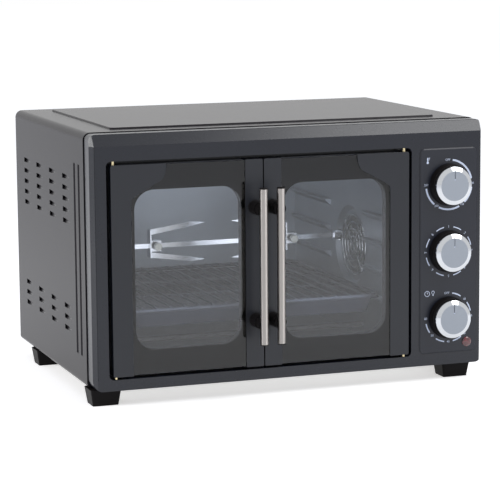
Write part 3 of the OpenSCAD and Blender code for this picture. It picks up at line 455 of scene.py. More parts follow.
def chromed_wire():
    """Drawn steel wire with bright chrome: sharp highlights along each wire, dulled a little by drawing marks."""
    material, tree, output = new_material("chromed_wire")
    marks = grain(tree, 0.9, 3.0)
    principled(tree, output, {
        "Base Color": shade(tree, marks, "#c4c6c9", "#d8dadc"),
        "Metallic": 1.0,
        "Roughness": spread(tree, marks, 0.1, 0.22),
        "Normal": bumped(tree, marks, 0.006),
    })
    return material


def painted_shade_rack_wire():
    """The rack's chromed wire painted darker, grey-brown and dull, as painted shade, so that only its ends catch the
    light.
    """
    material, tree, output = new_material("painted_shade_rack_wire")
    bloom = grain(tree, 6, 3.0)
    principled(tree, output, {
        "Base Color": shade(tree, bloom, "#43464f", "#5a5e68"),
        "Metallic": 0.9,
        "Roughness": spread(tree, bloom, 0.4, 0.55),
        "Normal": bumped(tree, grain(tree, 0.9), 0.006),
    })
    return material


def baked_tray_enamel():
    """Vitreous enamel on pressed steel: deep, glassy and speckled."""
    material, tree, output = new_material("baked_tray_enamel")
    speckle = grain(tree, 0.8, 2.0)
    flecks = add(tree, "ShaderNodeMapRange", {
        "Value": speckle, "From Min": 0.66, "From Max": 0.72, "To Min": 0.0, "To Max": 1.0}).outputs[0]
    principled(tree, output, {
        "Base Color": shade(tree, flecks, "#2e323f", "#5c5f66"),
        "Roughness": spread(tree, grain(tree, 14), 0.14, 0.26),
        "IOR": 1.55,
        "Specular IOR Level": DULLED_SPECULAR,
        "Normal": bumped(tree, grain(tree, 5), 0.02, 0.3),
    })
    return material


def pressed_aluminium():
    """Pressed aluminium sheet: pale and soft, with faint drawing lines."""
    material, tree, output = new_material("pressed_aluminium")
    lines = grain(tree, 0.6, 3.0, (0.1, 1, 1))
    principled(tree, output, {
        "Base Color": shade(tree, lines, "#bfc1c3", "#d3d5d6"),
        "Metallic": 1.0,
        "Roughness": spread(tree, lines, 0.3, 0.42),
        "Normal": bumped(tree, lines, 0.008, 0.25),
    })
    return material


def laminated_iron():
    """Stacked stator laminations: thin dark and light lines, 0.5 mm apart in the real stack, drawn at 1 mm."""
    material, tree, output = new_material("laminated_iron")
    wave = add(tree, "ShaderNodeTexWave", {
        "Vector": place(tree), "Scale": 1 / (20 * MM), "Distortion": 0.3}, bands_direction="X").outputs["Fac"]
    principled(tree, output, {
        "Base Color": shade(tree, wave, "#56585a", "#85888a"),
        "Metallic": 0.9,
        "Roughness": spread(tree, wave, 0.4, 0.58),
        "Normal": bumped(tree, wave, 0.05, 0.3),
    })
    return material


def ground_steel():
    """Ground and plated steel bar: bright, with fine marks along the rod."""
    material, tree, output = new_material("ground_steel")
    marks = grain(tree, 0.5, 3.0, (0.05, 1, 1))
    principled(tree, output, {
        "Base Color": shade(tree, marks, "#d4d6da", "#e6e7ea"),
        "Metallic": 1.0,
        "Roughness": spread(tree, marks, 0.12, 0.24),
        "Normal": bumped(tree, marks, 0.006, 0.2),
    })
    return material


def plated_screw_steel():
    """Zinc-plated screw: a mild sheen with a slight yellow tone."""
    material, tree, output = new_material("plated_screw_steel")
    bloom = grain(tree, 1.2, 3.0)
    principled(tree, output, {
        "Base Color": shade(tree, bloom, "#a9a9a2", "#c6c5bd"),
        "Metallic": 1.0,
        "Roughness": spread(tree, bloom, 0.24, 0.4),
        "Normal": bumped(tree, bloom, 0.01, 0.2),
    })
    return material


def pressed_lamp_glass():
    """Heat-proof pressed glass: clear, with slow ripples from the mould."""
    material, tree, output = new_material("pressed_lamp_glass")
    ripple = grain(tree, 3.0)
    glass = add(tree, "ShaderNodeBsdfPrincipled", {
        "Base Color": linear("#f1ece0"), "Transmission Weight": 1.0, "IOR": 1.47,
        "Roughness": spread(tree, ripple, 0.03, 0.12),
        "Normal": bumped(tree, ripple, 0.15),
    })
    clear_to_shadows(tree, output, glass, "#eee9dd")
    return material


def clear_to_shadows(tree, output, glass, tint):
    """Glass that lets lamps light what is behind it."""
    clear = add(tree, "ShaderNodeBsdfTransparent", {"Color": linear(tint)})
    ray = add(tree, "ShaderNodeLightPath")
    mix = add(tree, "ShaderNodeMixShader", {
        "Fac": ray.outputs["Is Shadow Ray"], 1: glass.outputs[0], 2: clear.outputs[0]})
    tree.links.new(mix.outputs[0], output.inputs["Surface"])


def tempered_door_glass():
    """Tempered float glass with a light grey tint: its reflection is faint and barely waved by the rollers."""
    material, tree, output = new_material("tempered_door_glass")
    rollers = grain(tree, 70, 1.0, (1, 1, 0.3))
    glass = add(tree, "ShaderNodeBsdfPrincipled", {
        "Base Color": linear(colours().glass), "Transmission Weight": 1.0, "IOR": 1.5,
        "Specular IOR Level": DULLED_GLASS_SPECULAR,
        "Roughness": spread(tree, rollers, 0.0, 0.02),
        "Normal": bumped(tree, rollers, 0.02, 0.25),
    })
    clear_to_shadows(tree, output, glass, colours().glass)
    return material


def moulded_phenolic():
    """Compression-moulded phenolic of switch bodies: hard and buff brown."""
    material, tree, output = new_material("moulded_phenolic")
    flow = grain(tree, 6, 3.0)
    principled(tree, output, {
        "Base Color": shade(tree, flow, "#8d7f66", "#a3957a"),
        "Roughness": spread(tree, flow, 0.4, 0.55),
        "IOR": 1.6,
        "Normal": bumped(tree, flow, 0.02, 0.3),
    })
    return material


def radius_from(tree, node):
    """Distance in metres from the axis of a round piece that faces front."""
    coords = add(tree, "ShaderNodeTexCoord").outputs["Object"]
    middle = centre(node)
    offset = add(tree, "ShaderNodeVectorMath", {0: coords, 1: (middle[0], 0, middle[2])}, operation="SUBTRACT")
    flat = add(tree, "ShaderNodeVectorMath", {0: offset.outputs[0], 1: (1, 0, 1)}, operation="MULTIPLY")
    return add(tree, "ShaderNodeVectorMath", {0: flat.outputs[0]}, operation="LENGTH").outputs["Value"]


def knob_chrome(node):
    """Chrome-plated ABS cap: a mirror bevel and side round a face that was masked and plated satin."""
    material, tree, output = new_material("plated_cap_" + node)
    radius = radius_from(tree, node)
    low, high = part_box(node)
    face_radius = (high.x - low.x) / 2 - bpy.context.scene.oven_knobs.bevel_width
    satin = add(tree, "ShaderNodeMapRange", {
        "Value": radius, "From Min": face_radius - 0.1 * MM, "From Max": face_radius + 0.1 * MM,
        "To Min": 1.0, "To Max": 0.0}).outputs[0]
    frost = grain(tree, 0.5, 3.0)
    rough = add(tree, "ShaderNodeMix", {
        "Factor": satin, 2: 0.05, 3: spread(tree, frost, 0.5, 0.6)}, data_type="FLOAT").outputs[0]
    principled(tree, output, {
        "Base Color": shade(tree, satin, "#c4c7cb", "#9aa0a9"),
        "Metallic": add(tree, "ShaderNodeMix", {"Factor": satin, 2: 1.0, 3: 0.55}, data_type="FLOAT").outputs[0],
        "Roughness": rough,
        "Normal": bumped(tree, frost, 0.003, 0.15),
    })
    return material


def indicator_lens():
    """Moulded red acrylic over a dark chamber: small prisms inside catch the light."""
    material, tree, output = new_material("moulded_red_lens")
    prism = add(tree, "ShaderNodeTexVoronoi", {"Vector": place(tree), "Scale": 1 / (2.2 * MM)}, feature="F1")
    facet = prism.outputs["Distance"]
    principled(tree, output, {
        "Base Color": shade(tree, facet, "#23040b", colours().lens),
        "Roughness": 0.12,
        "IOR": 1.49,
        "Subsurface Weight": 0.25,
        "Subsurface Radius": (0.002, 0.0003, 0.0003),
        "Coat Weight": 1.0,
        "Coat Roughness": 0.05,
        "Normal": bumped(tree, facet, 0.25),
    })
    return material


def black_enamel():
    """Heat-proof black enamel on the pressed door frame: glossy behind the glass."""
    material, tree, output = new_material("black_enamel")
    skin = grain(tree, 3.0)
    principled(tree, output, {
        "Base Color": shade(tree, skin, "#11151f", "#151a26"),
        "Roughness": spread(tree, skin, 0.2, 0.3),
        "IOR": 1.5,
        "Normal": bumped(tree, skin, 0.01, 0.3),
    })
    return material


def satin_painted_trim():
    """Black-painted aluminium trim of the doors: satin, with a fine vertical grain under the paint."""
    material, tree, output = new_material("satin_painted_trim")
    fibre = grain(tree, 0.6, 2.0, (1, 1, 0.05))
    # Painted shade: gaps and inner corners of the trim turn black and dull by ambient occlusion.
    colour, rough = with_painted_seam_shade(tree, unshaded_share(tree), shade(tree, fibre, "#0d111a", "#121620"),
                             spread(tree, fibre, 0.3, 0.4))
    principled(tree, output, {
        "Base Color": colour,
        "Roughness": rough,
        "IOR": 1.5,
        "Normal": bumped(tree, fibre, 0.006, 0.35),
    })
    return material


def polished_handle_steel():
    """Stainless tube polished round its circumference: each reflection is drawn out up and down the bar."""
    material, tree, output = new_material("polished_handle_steel")
    lines = grain(tree, 0.5, 3.0, (0.1, 0.1, 1))
    along = add(tree, "ShaderNodeCombineXYZ", {"Z": 1.0}).outputs[0]
    principled(tree, output, {
        "Base Color": shade(tree, lines, "#b3aeab", "#bfbbb8"),
        "Metallic": 1.0,
        "Roughness": spread(tree, lines, 0.46, 0.54),
        "Anisotropic": 1.0,
        "Tangent": along,
        "Normal": bumped(tree, lines, 0.002),
    })
    return material


def turned_brass():
    """Turned brass pin: warm, with fine rings round it."""
    material, tree, output = new_material("turned_brass")
    rings = grain(tree, 0.3, 2.0, (0.1, 0.1, 1))
    principled(tree, output, {
        "Base Color": shade(tree, rings, "#cdbd94", "#e3d5b0"),
        "Metallic": 1.0,
        "Roughness": spread(tree, rings, 0.2, 0.34),
        "Normal": bumped(tree, rings, 0.01, 0.15),
    })
    return material


def magnet_case():
    """Moulded polypropylene case of a door magnet: waxy black."""
    material, tree, output = new_material("magnet_case")
    skin = grain(tree, 0.8)
    principled(tree, output, {
        "Base Color": shade(tree, skin, "#1b1b1d", "#232326"),
        "Roughness": spread(tree, skin, 0.4, 0.5),
        "IOR": 1.49,
        "Normal": bumped(tree, skin, 0.01, 0.2),
    })
    return material


def printed_ink():
    """Pad-printed epoxy ink: matt, with a slightly uneven film."""
    material, tree, output = new_material("printed_ink")
    film = grain(tree, 0.6, 3.0)
    principled(tree, output, {
        "Base Color": shade(tree, spread(tree, film, 0.0, 0.5), colours().ink, "#c9d5ee"),
        "Roughness": 0.5,
        "IOR": 1.5,
        "Normal": bumped(tree, film, 0.004),
    })
    return material


FINISHES = {
    "shell_paint": powder_coated_steel, "frame_paint": baked_paint, "panel_paint": control_field_paint,
    "zinc_steel": galvanised_sheet, "black_plastic": moulded_nylon, "cavity_steel": aluminised_sheet,
    "element_sheath": oxidised_tube, "ceramic": unglazed_steatite, "chromed_wire": chromed_wire,
    "tray_enamel": baked_tray_enamel, "fan_aluminium": pressed_aluminium, "motor_steel": laminated_iron,
    "spit_steel": ground_steel, "screw_steel": plated_screw_steel, "lamp_glass": pressed_lamp_glass,
    "switch_plastic": moulded_phenolic, "lens_red": indicator_lens, "door_frame_paint": black_enamel,
    "door_glass": tempered_door_glass, "door_trim": satin_painted_trim, "handle_steel": polished_handle_steel,
    "pin_brass": turned_brass, "magnet_black": magnet_case, "dial_ink": printed_ink,
}
SLOT_OF = {part["node"]: part["material_slot"] for part in frame["record"]["subparts"]}
made = {}


def finish(slot):
    """The material of a slot, made when it is first asked for."""
    if slot not in made:
        made[slot] = FINISHES[slot]()
    return made[slot]


def dress(node, material=None):
    """Gives a solid of the frame its finish."""
    piece = NODES[node]
    piece.data.materials.clear()
    piece.data.materials.append(material or finish(SLOT_OF[node]))


# ---------- prints ----------

def on_dial(radius, degrees):
    """Offset from a dial's axis at an angle clockwise from the top."""
    angle = math.radians(degrees)
    return radius * math.sin(angle), radius * math.cos(angle)


def plate(bm, outline, depth):
    """A thin solid whose front outline is (x, z) points, with its back at y = 0 and its front at -depth."""
    back = [bm.verts.new((x, 0, z)) for x, z in outline]
    front = [bm.verts.new((x, -depth, z)) for x, z in outline]
    bm.faces.new(front)
    bm.faces.new(list(reversed(back)))
    for i in range(len(outline)):
        j = (i + 1) % len(outline)
        bm.faces.new((front[i], front[j], back[j], back[i]))


def band(bm, radius, width, start, stop, depth, middle=(0, 0)):
    """An arc of a ring from start to stop degrees, with square ends."""
    steps = max(2, round((stop - start) / 4))
    angles = [start + (stop - start) * i / steps for i in range(steps + 1)]
    for a, b in zip(angles, angles[1:]):
        corners = [on_dial(radius + width / 2, a), on_dial(radius + width / 2, b),
                   on_dial(radius - width / 2, b), on_dial(radius - width / 2, a)]
        plate(bm, [(x + middle[0], z + middle[1]) for x, z in corners], depth)


def stroke(bm, start, stop, width, depth):
    """A straight line with square ends between two (x, z) points."""
    run = Vector((stop[0] - start[0], stop[1] - start[1])).normalized()
    side = Vector((-run.y, run.x)) * width / 2
    plate(bm, [(start[0] + side.x, start[1] + side.y), (stop[0] + side.x, stop[1] + side.y),
               (stop[0] - side.x, stop[1] - side.y), (start[0] - side.x, start[1] - side.y)], depth)


def disc(bm, middle, radius, depth, turns=24):
    plate(bm, [(middle[0] + x, middle[1] + z)
               for x, z in (on_dial(radius, 360 * i / turns) for i in range(turns))], depth)


def figure(bm, words, middle, height, depth, turn=0.0):
    """Plain figures centred on an (x, z) point, in the standard face; turn is clockwise degrees."""
    text = bpy.data.curves.new("figure", "FONT")
    text.body = words
    text.size = height / 0.72
    text.align_x = "CENTER"
    text.align_y = "CENTER"
    text.extrude = depth / 2
    text.resolution_u = 3
    shown = bpy.data.objects.new("figure", text)
    bpy.context.scene.collection.objects.link(shown)
    bpy.context.view_layer.update()
    mesh = bpy.data.meshes.new_from_object(shown.evaluated_get(bpy.context.evaluated_depsgraph_get()))
    mesh.transform(Matrix.Translation((middle[0], -depth / 2, middle[1]))
                   @ Matrix.Rotation(math.radians(turn), 4, "Y") @ Matrix.Rotation(math.pi / 2, 4, "X"))
    bm.from_mesh(mesh)
    bpy.data.objects.remove(shown)
    bpy.data.curves.remove(text)
    bpy.data.meshes.remove(mesh)


def print_on_panel(name, draw, middle):
    """A print on the control field, drawn round an (x, z) point of the panel's front face."""
    def build(bm):
        draw(bm)
        shift(bm, (middle[0], PANEL_LOW.y, middle[1]))
    return mesh_piece(name, build, finish("dial_ink"), "root")


def axis_of(knob):
    """(x, z) of a knob's axis."""
    middle = centre(knob + "_skirt")
    return middle[0], middle[2]


def temperature_scale(bm):
    """Four arcs that share the sweep between OFF and the last figure."""
    sizes = bpy.context.scene.oven_prints
    film = sizes.ink_thickness
    for start, stop in ((9, 78), (98, 137), (153, 206), (220, 263)):
        band(bm, sizes.arc_radius, sizes.arc_width, start, stop, film)
    for words, angle in (("OFF", -3), ("100", 89), ("150", 145), ("200", 213), ("250", 271)):
        figure(bm, words, on_dial(sizes.arc_radius, angle), sizes.figure_height * 0.85, film)


def function_scale(bm):
    """Eight numbered places with a dash between neighbours."""
    sizes = bpy.context.scene.oven_prints
    film = sizes.ink_thickness
    places = 8
    for i in range(places):
        angle = 360 * i / places
        figure(bm, str(i + 1), on_dial(sizes.arc_radius, angle), sizes.figure_height, film, angle)
        band(bm, sizes.arc_radius, sizes.arc_width * 0.6, angle + 12, angle + 33, film)


def timer_scale(bm):
    """Arcs between figures that stand every 45 degrees."""
    sizes = bpy.context.scene.oven_prints
    film = sizes.ink_thickness
    step = 45
    figures = ("OFF", "10", "20", "30", "40", "50", "60")
    for i, words in enumerate(figures):
        figure(bm, words, on_dial(sizes.arc_radius, step * i - (4 if i == 0 else 0)), sizes.figure_height * 0.9, film)
        if i + 1 < len(figures):
            band(bm, sizes.arc_radius, sizes.arc_width * 0.7, step * i + 10, step * i + 33, film)


def thermometer_sign(bm):
    """Plain thermometer: a stem, a bulb and three graduations."""
    film = bpy.context.scene.oven_prints.ink_thickness
    disc(bm, (0, -2.6 * MM), 1.5 * MM, film)
    stroke(bm, (0, -1.6 * MM), (0, 3.6 * MM), 1.5 * MM, film)
    for i in range(3):
        level = (3.2 - 1.3 * i) * MM
        stroke(bm, (1.3 * MM, level), ((3.0 - 0.5 * i) * MM, level), 0.6 * MM, film)


def clock_sign(bm):
    """Plain clock: a ring and two hands."""
    film = bpy.context.scene.oven_prints.ink_thickness
    band(bm, 3.3 * MM, 0.6 * MM, 0, 360, film)
    stroke(bm, (0, -0.3 * MM), (0, 2.0 * MM), 0.55 * MM, film)
    stroke(bm, (-0.3 * MM, 0), (1.5 * MM, 0), 0.55 * MM, film)


def lamp_sign(bm):
    """Plain light bulb: an open ring, a neck and its cap."""
    film = bpy.context.scene.oven_prints.ink_thickness
    band(bm, 1.8 * MM, 0.6 * MM, -150, 150, film, (0, 1.2 * MM))
    for side in (-1, 1):
        stroke(bm, (side * 0.8 * MM, -0.5 * MM), (side * 0.6 * MM, -1.5 * MM), 0.5 * MM, film)
    stroke(bm, (-1.0 * MM, -1.9 * MM), (1.0 * MM, -1.9 * MM), 0.6 * MM, film)
    stroke(bm, (-0.7 * MM, -2.9 * MM), (0.7 * MM, -2.9 * MM), 0.6 * MM, film)


# ---------- operators ----------

class OVEN_OT_finish_body(bpy.types.Operator):
    """Coats the shell, the control field, the covers and the feet"""

    bl_idname = "oven.finish_body"
    bl_label = "Body finishes"

    def execute(self, context):
        for node in ("outer_shell", "control_panel", "rear_cover", "bottom_plate", "feet",
                     "cord_gland", "cover_screws"):
            dress(node)
        dress("rear_cover", finish("shell_paint"))
        return {"FINISHED"}


def step_in(value, edge, reach, step):
    """A coordinate pressed in by a step at the edge, and by nothing from reach inside it."""
    past = max(0.0, abs(value) - (edge - reach)) / reach
    return math.copysign(abs(value) - step * min(1.0, past), value)


class OVEN_OT_seat_frame(bpy.types.Operator):
    """Makes the front frame with its rim a sheet's thickness inside the shell's edge"""

    bl_idname = "oven.seat_frame"
    bl_label = "Front frame in the shell"

    def execute(self, context):
        sizes = context.scene.oven_seam
        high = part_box("outer_shell")[1]
        mesh = NODES["front_frame"].data.copy()
        mesh.name = "front_frame_rim"
        for vertex in mesh.vertices:
            vertex.co.x = step_in(vertex.co.x, high.x, sizes.reach, sizes.step)
            vertex.co.z = step_in(vertex.co.z, high.z, sizes.reach, sizes.step)
        piece = bpy.data.objects.new("front_frame_rim", mesh)
        context.scene.collection.objects.link(piece)
        mesh.materials.clear()
        mesh.materials.append(finish("frame_paint"))
        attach(piece, "root")
        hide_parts("front_frame")
        return {"FINISHED"}


class OVEN_OT_finish_doors(bpy.types.Operator):
    """Finishes both doors, their glass, trims, handles, pins and magnets"""

    bl_idname = "oven.finish_doors"
    bl_label = "Door finishes"

    def execute(self, context):
        for side in ("left", "right"):
            for part in ("door_frame", "door_glass", "door_stile", "hinge_trim",
                         "handle_bar", "handle_posts", "handle_caps"):
                dress(side + "_" + part)
        for node in ("hinge_pins", "door_magnets"):
            dress(node)
        return {"FINISHED"}


class OVEN_OT_finish_cavity(bpy.types.Operator):
    """Finishes the cavity's sheets, heaters, lamp, rack, trays and fan"""

    bl_idname = "oven.finish_cavity"
    bl_label = "Cavity finishes"

    def execute(self, context):
        for node in ("cavity_flange", "cavity_roof", "cavity_floor", "cavity_back", "cavity_wall_left",
                     "cavity_wall_right", "fan_drum", "upper_elements", "lower_elements", "element_insulators",
                     "wire_rack", "baking_tray", "crumb_tray", "fan_guard", "fan", "fan_motor",
                     "lamp_glass", "lamp_holder"):
            dress(node)
        dress("cavity_flange", finish("frame_paint"))
        # The rack gets a darker copy of its chromed wire: painted shade.
        dress("wire_rack", painted_shade_rack_wire())
        return {"FINISHED"}


class OVEN_OT_finish_rotisserie(bpy.types.Operator):
    """Finishes the spit, its forks, its coupling, its support and its motor"""

    bl_idname = "oven.finish_rotisserie"
    bl_label = "Rotisserie finishes"

    def execute(self, context):
        for node in ("spit_rod", "spit_fork_left", "spit_fork_right", "fork_screws", "spit_coupling",
                     "spit_motor", "spit_support"):
            dress(node)
        return {"FINISHED"}


class OVEN_OT_finish_controls(bpy.types.Operator):
    """Finishes the knobs, the switches behind them and the indicator lens"""

    bl_idname = "oven.finish_controls"
    bl_label = "Control finishes"

    def execute(self, context):
        for node in ("thermostat", "function_switch", "timer", "indicator_lens"):
            dress(node)
        for knob in KNOBS:
            dress(knob + "_skirt")
        return {"FINISHED"}


def carve(piece, build):
    """Cuts the solid that a function builds out of a piece."""
    cutter = built("cutter", build)
    mesh = cutter.data
    cut = piece.modifiers.new("cut", "BOOLEAN")
    cut.object = cutter
    cut.solver = "EXACT"
    bpy.context.view_layer.update()
    carved = bpy.data.meshes.new_from_object(piece.evaluated_get(bpy.context.evaluated_depsgraph_get()))
    piece.modifiers.clear()
    piece.data = carved
    bpy.data.objects.remove(cutter)
    bpy.data.meshes.remove(mesh)


class OVEN_OT_plate_knobs(bpy.types.Operator):
    """Makes the chromed caps of the knobs, with their bevels and pointer grooves"""

    bl_idname = "oven.plate_knobs"
    bl_label = "Knob caps"

    def execute(self, context):
        sizes = context.scene.oven_knobs
        for knob in KNOBS:
            node = knob + "_cap"
            low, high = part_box(node)
            x, z = axis_of(knob)
            radius, depth = (high.x - low.x) / 2, high.y - low.y
            face, side = radius - sizes.bevel_width, depth - sizes.bevel_height

            def cap(bm):
                lathe(bm, [(0, 0), (radius, 0), (radius, side), (face + sizes.edge, depth - sizes.edge / 2),
                           (face - sizes.edge, depth), (0, depth)], CAP_TURNS)
                shift(bm, (x, high.y, z))

            def groove(bm):
                half = sizes.pointer_width / 2
                plate(bm, [(-half, sizes.pointer_start), (half, sizes.pointer_start),
                           (half, radius - sizes.bevel_width / 2), (-half, radius - sizes.bevel_width / 2)],
                      2 * sizes.pointer_depth)
                shift(bm, (x, low.y + sizes.pointer_depth, z))
            piece = mesh_piece(knob + "_chrome", cap, knob_chrome(node), knob + "_knob")
            carve(piece, groove)
            smooth(piece, CAP_SHARP_ANGLE)
            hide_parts(node)
        return {"FINISHED"}


class OVEN_OT_print_dials(bpy.types.Operator):
    """Prints the three scales and the signs beside them on the control field"""

    bl_idname = "oven.print_dials"
    bl_label = "Dial prints"

    def execute(self, context):
        scales = {"temperature": temperature_scale, "function": function_scale, "timer": timer_scale}
        for knob in KNOBS:
            print_on_panel(knob + "_scale", scales[knob], axis_of(knob))
        signs = (("thermometer_sign", thermometer_sign, "temperature", -29, 31),
                 ("clock_sign", clock_sign, "timer", -29, 31.5), ("lamp_sign", lamp_sign, "timer", -21, 31.7))
        for name, draw, knob, x, z in signs:
            middle = axis_of(knob)
            print_on_panel(name, draw, (middle[0] + x * MM, middle[1] + z * MM))
        return {"FINISHED"}


class OVEN_OT_mark_knobs(bpy.types.Operator):
    """Fills the dot at the inner end of each knob's pointer"""

    bl_idname = "oven.mark_knobs"
    bl_label = "Knob marks"

    def execute(self, context):
        sizes = context.scene.oven_prints
        for knob in KNOBS:
            x, z = axis_of(knob)
            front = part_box(knob + "_cap")[0].y + DOT_SUNK

            def build(bm):
                disc(bm, (0, DOT_FROM_AXIS), sizes.dot_radius, DOT_FILM)
                shift(bm, (x, front, z))
            mesh_piece(knob + "_dot", build, finish("dial_ink"), knob + "_knob")
        return {"FINISHED"}


class OVEN_OT_build_stage(bpy.types.Operator):
    """Sets the floor, the pale room, the lamps and the camera"""

    bl_idname = "oven.build_stage"
    bl_label = "Stage"

    def execute(self, context):
        studio = context.scene.oven_studio
        low, high = (Vector(corner) for corner in CAD_BOX)
        middle = (low + high) / 2
        build_floor(low.z)
        build_world(studio)
        build_lamps(studio, middle)
        build_camera(studio, middle)
        context.scene.view_settings.view_transform = "Standard"
        return {"FINISHED"}


def seen_background(tree):
    """1 for the rays that see the background: the camera's, and those of gloss and glass."""
    ray = add(tree, "ShaderNodeLightPath")
    mirrored = add(tree, "ShaderNodeMath", {
        0: ray.outputs["Is Glossy Ray"], 1: ray.outputs["Is Transmission Ray"]}, operation="MAXIMUM").outputs[0]
    return add(tree, "ShaderNodeMath", {0: ray.outputs["Is Camera Ray"], 1: mirrored}, operation="MAXIMUM").outputs[0]


def build_floor(height):
    """White paper, lifted alike for the camera, gloss and glass; it keeps the oven's shadow."""
    mesh = bpy.data.meshes.new("floor")
    bm = bmesh.new()
    bmesh.ops.create_grid(bm, x_segments=1, y_segments=1, size=FLOOR_HALF)
    bm.to_mesh(mesh)
    bm.free()
    floor = bpy.data.objects.new("floor", mesh)
    floor.location.z = height
    bpy.context.scene.collection.objects.link(floor)
    material, tree, output = new_material("white_paper")
    paper = add(tree, "ShaderNodeBsdfDiffuse", {"Color": linear(PAPER_COLOUR)})
    glow = add(tree, "ShaderNodeEmission", {"Color": linear(PAPER_GLOW_COLOUR), "Strength": PAPER_GLOW})
    shown = add(tree, "ShaderNodeAddShader", {0: paper.outputs[0], 1: glow.outputs[0]})
    mix = add(tree, "ShaderNodeMixShader", {
        "Fac": seen_background(tree), 1: paper.outputs[0], 2: shown.outputs[0]})
    tree.links.new(mix.outputs[0], output.inputs["Surface"])
    mesh.materials.append(material)


def build_world(studio):
    """An even room light, with one white backdrop for the camera, gloss and glass."""
    world = bpy.data.worlds.new("studio")
    bpy.context.scene.world = world
    world.use_nodes = True
    tree = world.node_tree
    tree.nodes.clear()
    output = add(tree, "ShaderNodeOutputWorld")
    room = add(tree, "ShaderNodeBackground", {"Color": linear("#f0f5ff"), "Strength": studio.room})
    white = add(tree, "ShaderNodeBackground", {"Color": linear("#ffffff"), "Strength": 1.0})
    mix = add(tree, "ShaderNodeMixShader", {"Fac": seen_background(tree), 1: room.outputs[0], 2: white.outputs[0]})
    tree.links.new(mix.outputs[0], output.inputs["Surface"])


def add_box_light(name, radiance, size, location, target):
    """A rectangular soft light of an even radiance that faces its target."""
    lamp = bpy.data.lights.new(name, "AREA")
    lamp.shape = "RECTANGLE"
    lamp.size, lamp.size_y = size
    lamp.energy = radiance * math.pi * size[0] * size[1]
    holder = bpy.data.objects.new(name, lamp)
    holder.location = location
    holder.rotation_euler = (Vector(target) - Vector(location)).to_track_quat("-Z", "Y").to_euler()
    holder.visible_camera = False
    bpy.context.scene.collection.objects.link(holder)


# Lamps outside: width and height, place and target, both from the middle of the oven
LEFT_BOX = ((0.8, 0.7), (-1.75, 0.1, 0.62), (0, 0, 0))
RIGHT_BOX = ((0.8, 0.8), (0.94, -0.95, 1.1), (0.2, 0, 0))
# Lamp for the control field's bevel: width and height, and place from the field's upper corner
BEVEL_BOX = ((0.3, 0.3), (0.45, -0.15, 1.1))
# Fill in the cavity: width and height, place from the roof's right front corner, target from the back's lower corner
CAVITY_FILL = ((0.14, 0.03), (-90 * MM, 40 * MM, -10 * MM), (0.1, 0, 0.16))
# Cards behind the windows: height, drop below the spit, gap to the doors, and the dark stretch beside the meeting line
CARD_HEIGHT = 85 * MM
CARD_DROP = 18 * MM
CARD_GAP = 12 * MM
DARK_LEFT = 17 * MM
DARK_RIGHT = 29 * MM


def build_lamps(studio, middle):
    """Soft boxes on the left, above the front right and above the control field; a fill and two cards inside."""
    for name, radiance, (size, place_at, target) in (("left_box", studio.left, LEFT_BOX),
                                                     ("right_box", studio.right, RIGHT_BOX)):
        add_box_light(name, radiance, size, middle + Vector(place_at), middle + Vector(target))
    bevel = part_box("control_panel")[1]
    add_box_light("bevel_box", studio.right, BEVEL_BOX[0], bevel + Vector(BEVEL_BOX[1]), bevel)
    low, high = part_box("cavity_roof")
    add_box_light("cavity_fill", studio.inside, CAVITY_FILL[0], Vector((high.x, low.y, low.z)) + Vector(CAVITY_FILL[1]),
                  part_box("cavity_back")[0] + Vector(CAVITY_FILL[2]))
    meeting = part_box("right_door_frame")[0].x
    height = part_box("spit_rod")[0].z - CARD_DROP
    behind_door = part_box("right_door_frame")[1].y + CARD_GAP
    for name, start, stop in (("left_card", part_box("cavity_wall_left")[1].x, meeting - DARK_LEFT),
                              ("right_card", meeting + DARK_RIGHT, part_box("cavity_wall_right")[0].x)):
        card = Vector(((start + stop) / 2, behind_door, height))
        add_box_light(name, studio.cards, (stop - start, CARD_HEIGHT), card, card + Vector((0, 1, 0)))


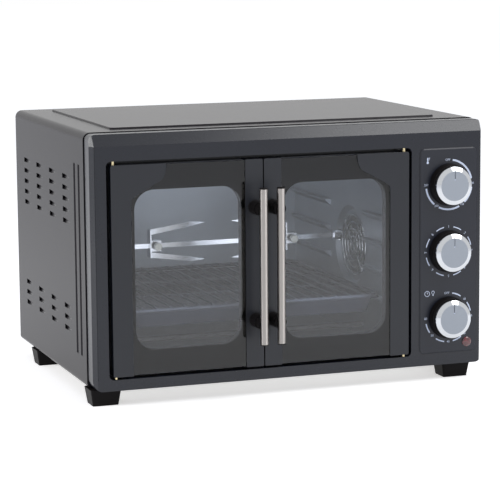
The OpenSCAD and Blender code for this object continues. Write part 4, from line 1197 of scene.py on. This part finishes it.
def build_camera(studio, middle):
    """The camera looks at its aim point from its distance, turned and tilted by its angles."""
    camera = bpy.data.cameras.new("camera")
    camera.lens = studio.lens
    holder = bpy.data.objects.new("camera", camera)
    turn = (Matrix.Rotation(-studio.yaw, 4, "Z") @ Matrix.Rotation(math.pi / 2 - studio.pitch, 4, "X")
            @ Matrix.Rotation(studio.roll, 4, "Z"))
    backward = (turn @ Vector((0, 0, 1, 0))).to_3d()
    place_at = middle + Vector(studio.aim) + backward * studio.distance
    holder.matrix_world = Matrix.Translation(place_at) @ turn
    bpy.context.scene.collection.objects.link(holder)
    bpy.context.scene.camera = holder


class OVEN_PT_panel(bpy.types.Panel):
    """Sidebar panel of the oven's settings and steps"""

    bl_label = "Convection oven"
    bl_idname = "OVEN_PT_panel"
    bl_space_type = "VIEW_3D"
    bl_region_type = "UI"
    bl_category = "Oven"

    def draw(self, context):
        scene = context.scene
        for group in (getattr(scene, name) for name in GROUPS):
            box = self.layout.box()
            for name in group.__annotations__:
                box.prop(group, name)
        for operator in OPERATORS:
            self.layout.operator(operator.bl_idname)


GROUPS = {"oven_colours": OvenFinishColours, "oven_prints": OvenPrintSizes, "oven_seam": OvenSeamSizes,
          "oven_knobs": OvenKnobSizes, "oven_studio": OvenStudio}
OPERATORS = (OVEN_OT_finish_body, OVEN_OT_seat_frame, OVEN_OT_finish_doors, OVEN_OT_finish_cavity,
             OVEN_OT_finish_rotisserie, OVEN_OT_finish_controls, OVEN_OT_plate_knobs, OVEN_OT_print_dials,
             OVEN_OT_mark_knobs, OVEN_OT_build_stage)


def register():
    for group in GROUPS.values():
        bpy.utils.register_class(group)
    for name, group in GROUPS.items():
        setattr(bpy.types.Scene, name, PointerProperty(type=group))
    for operator in OPERATORS:
        bpy.utils.register_class(operator)
    bpy.utils.register_class(OVEN_PT_panel)


def unregister():
    bpy.utils.unregister_class(OVEN_PT_panel)
    for operator in reversed(OPERATORS):
        bpy.utils.unregister_class(operator)
    for name in GROUPS:
        delattr(bpy.types.Scene, name)
    for group in reversed(GROUPS.values()):
        bpy.utils.unregister_class(group)


def main():
    register()
    for operator in OPERATORS:
        prefix, name = operator.bl_idname.split(".")
        getattr(getattr(bpy.ops, prefix), name)()


if __name__ == "__main__":
    main()
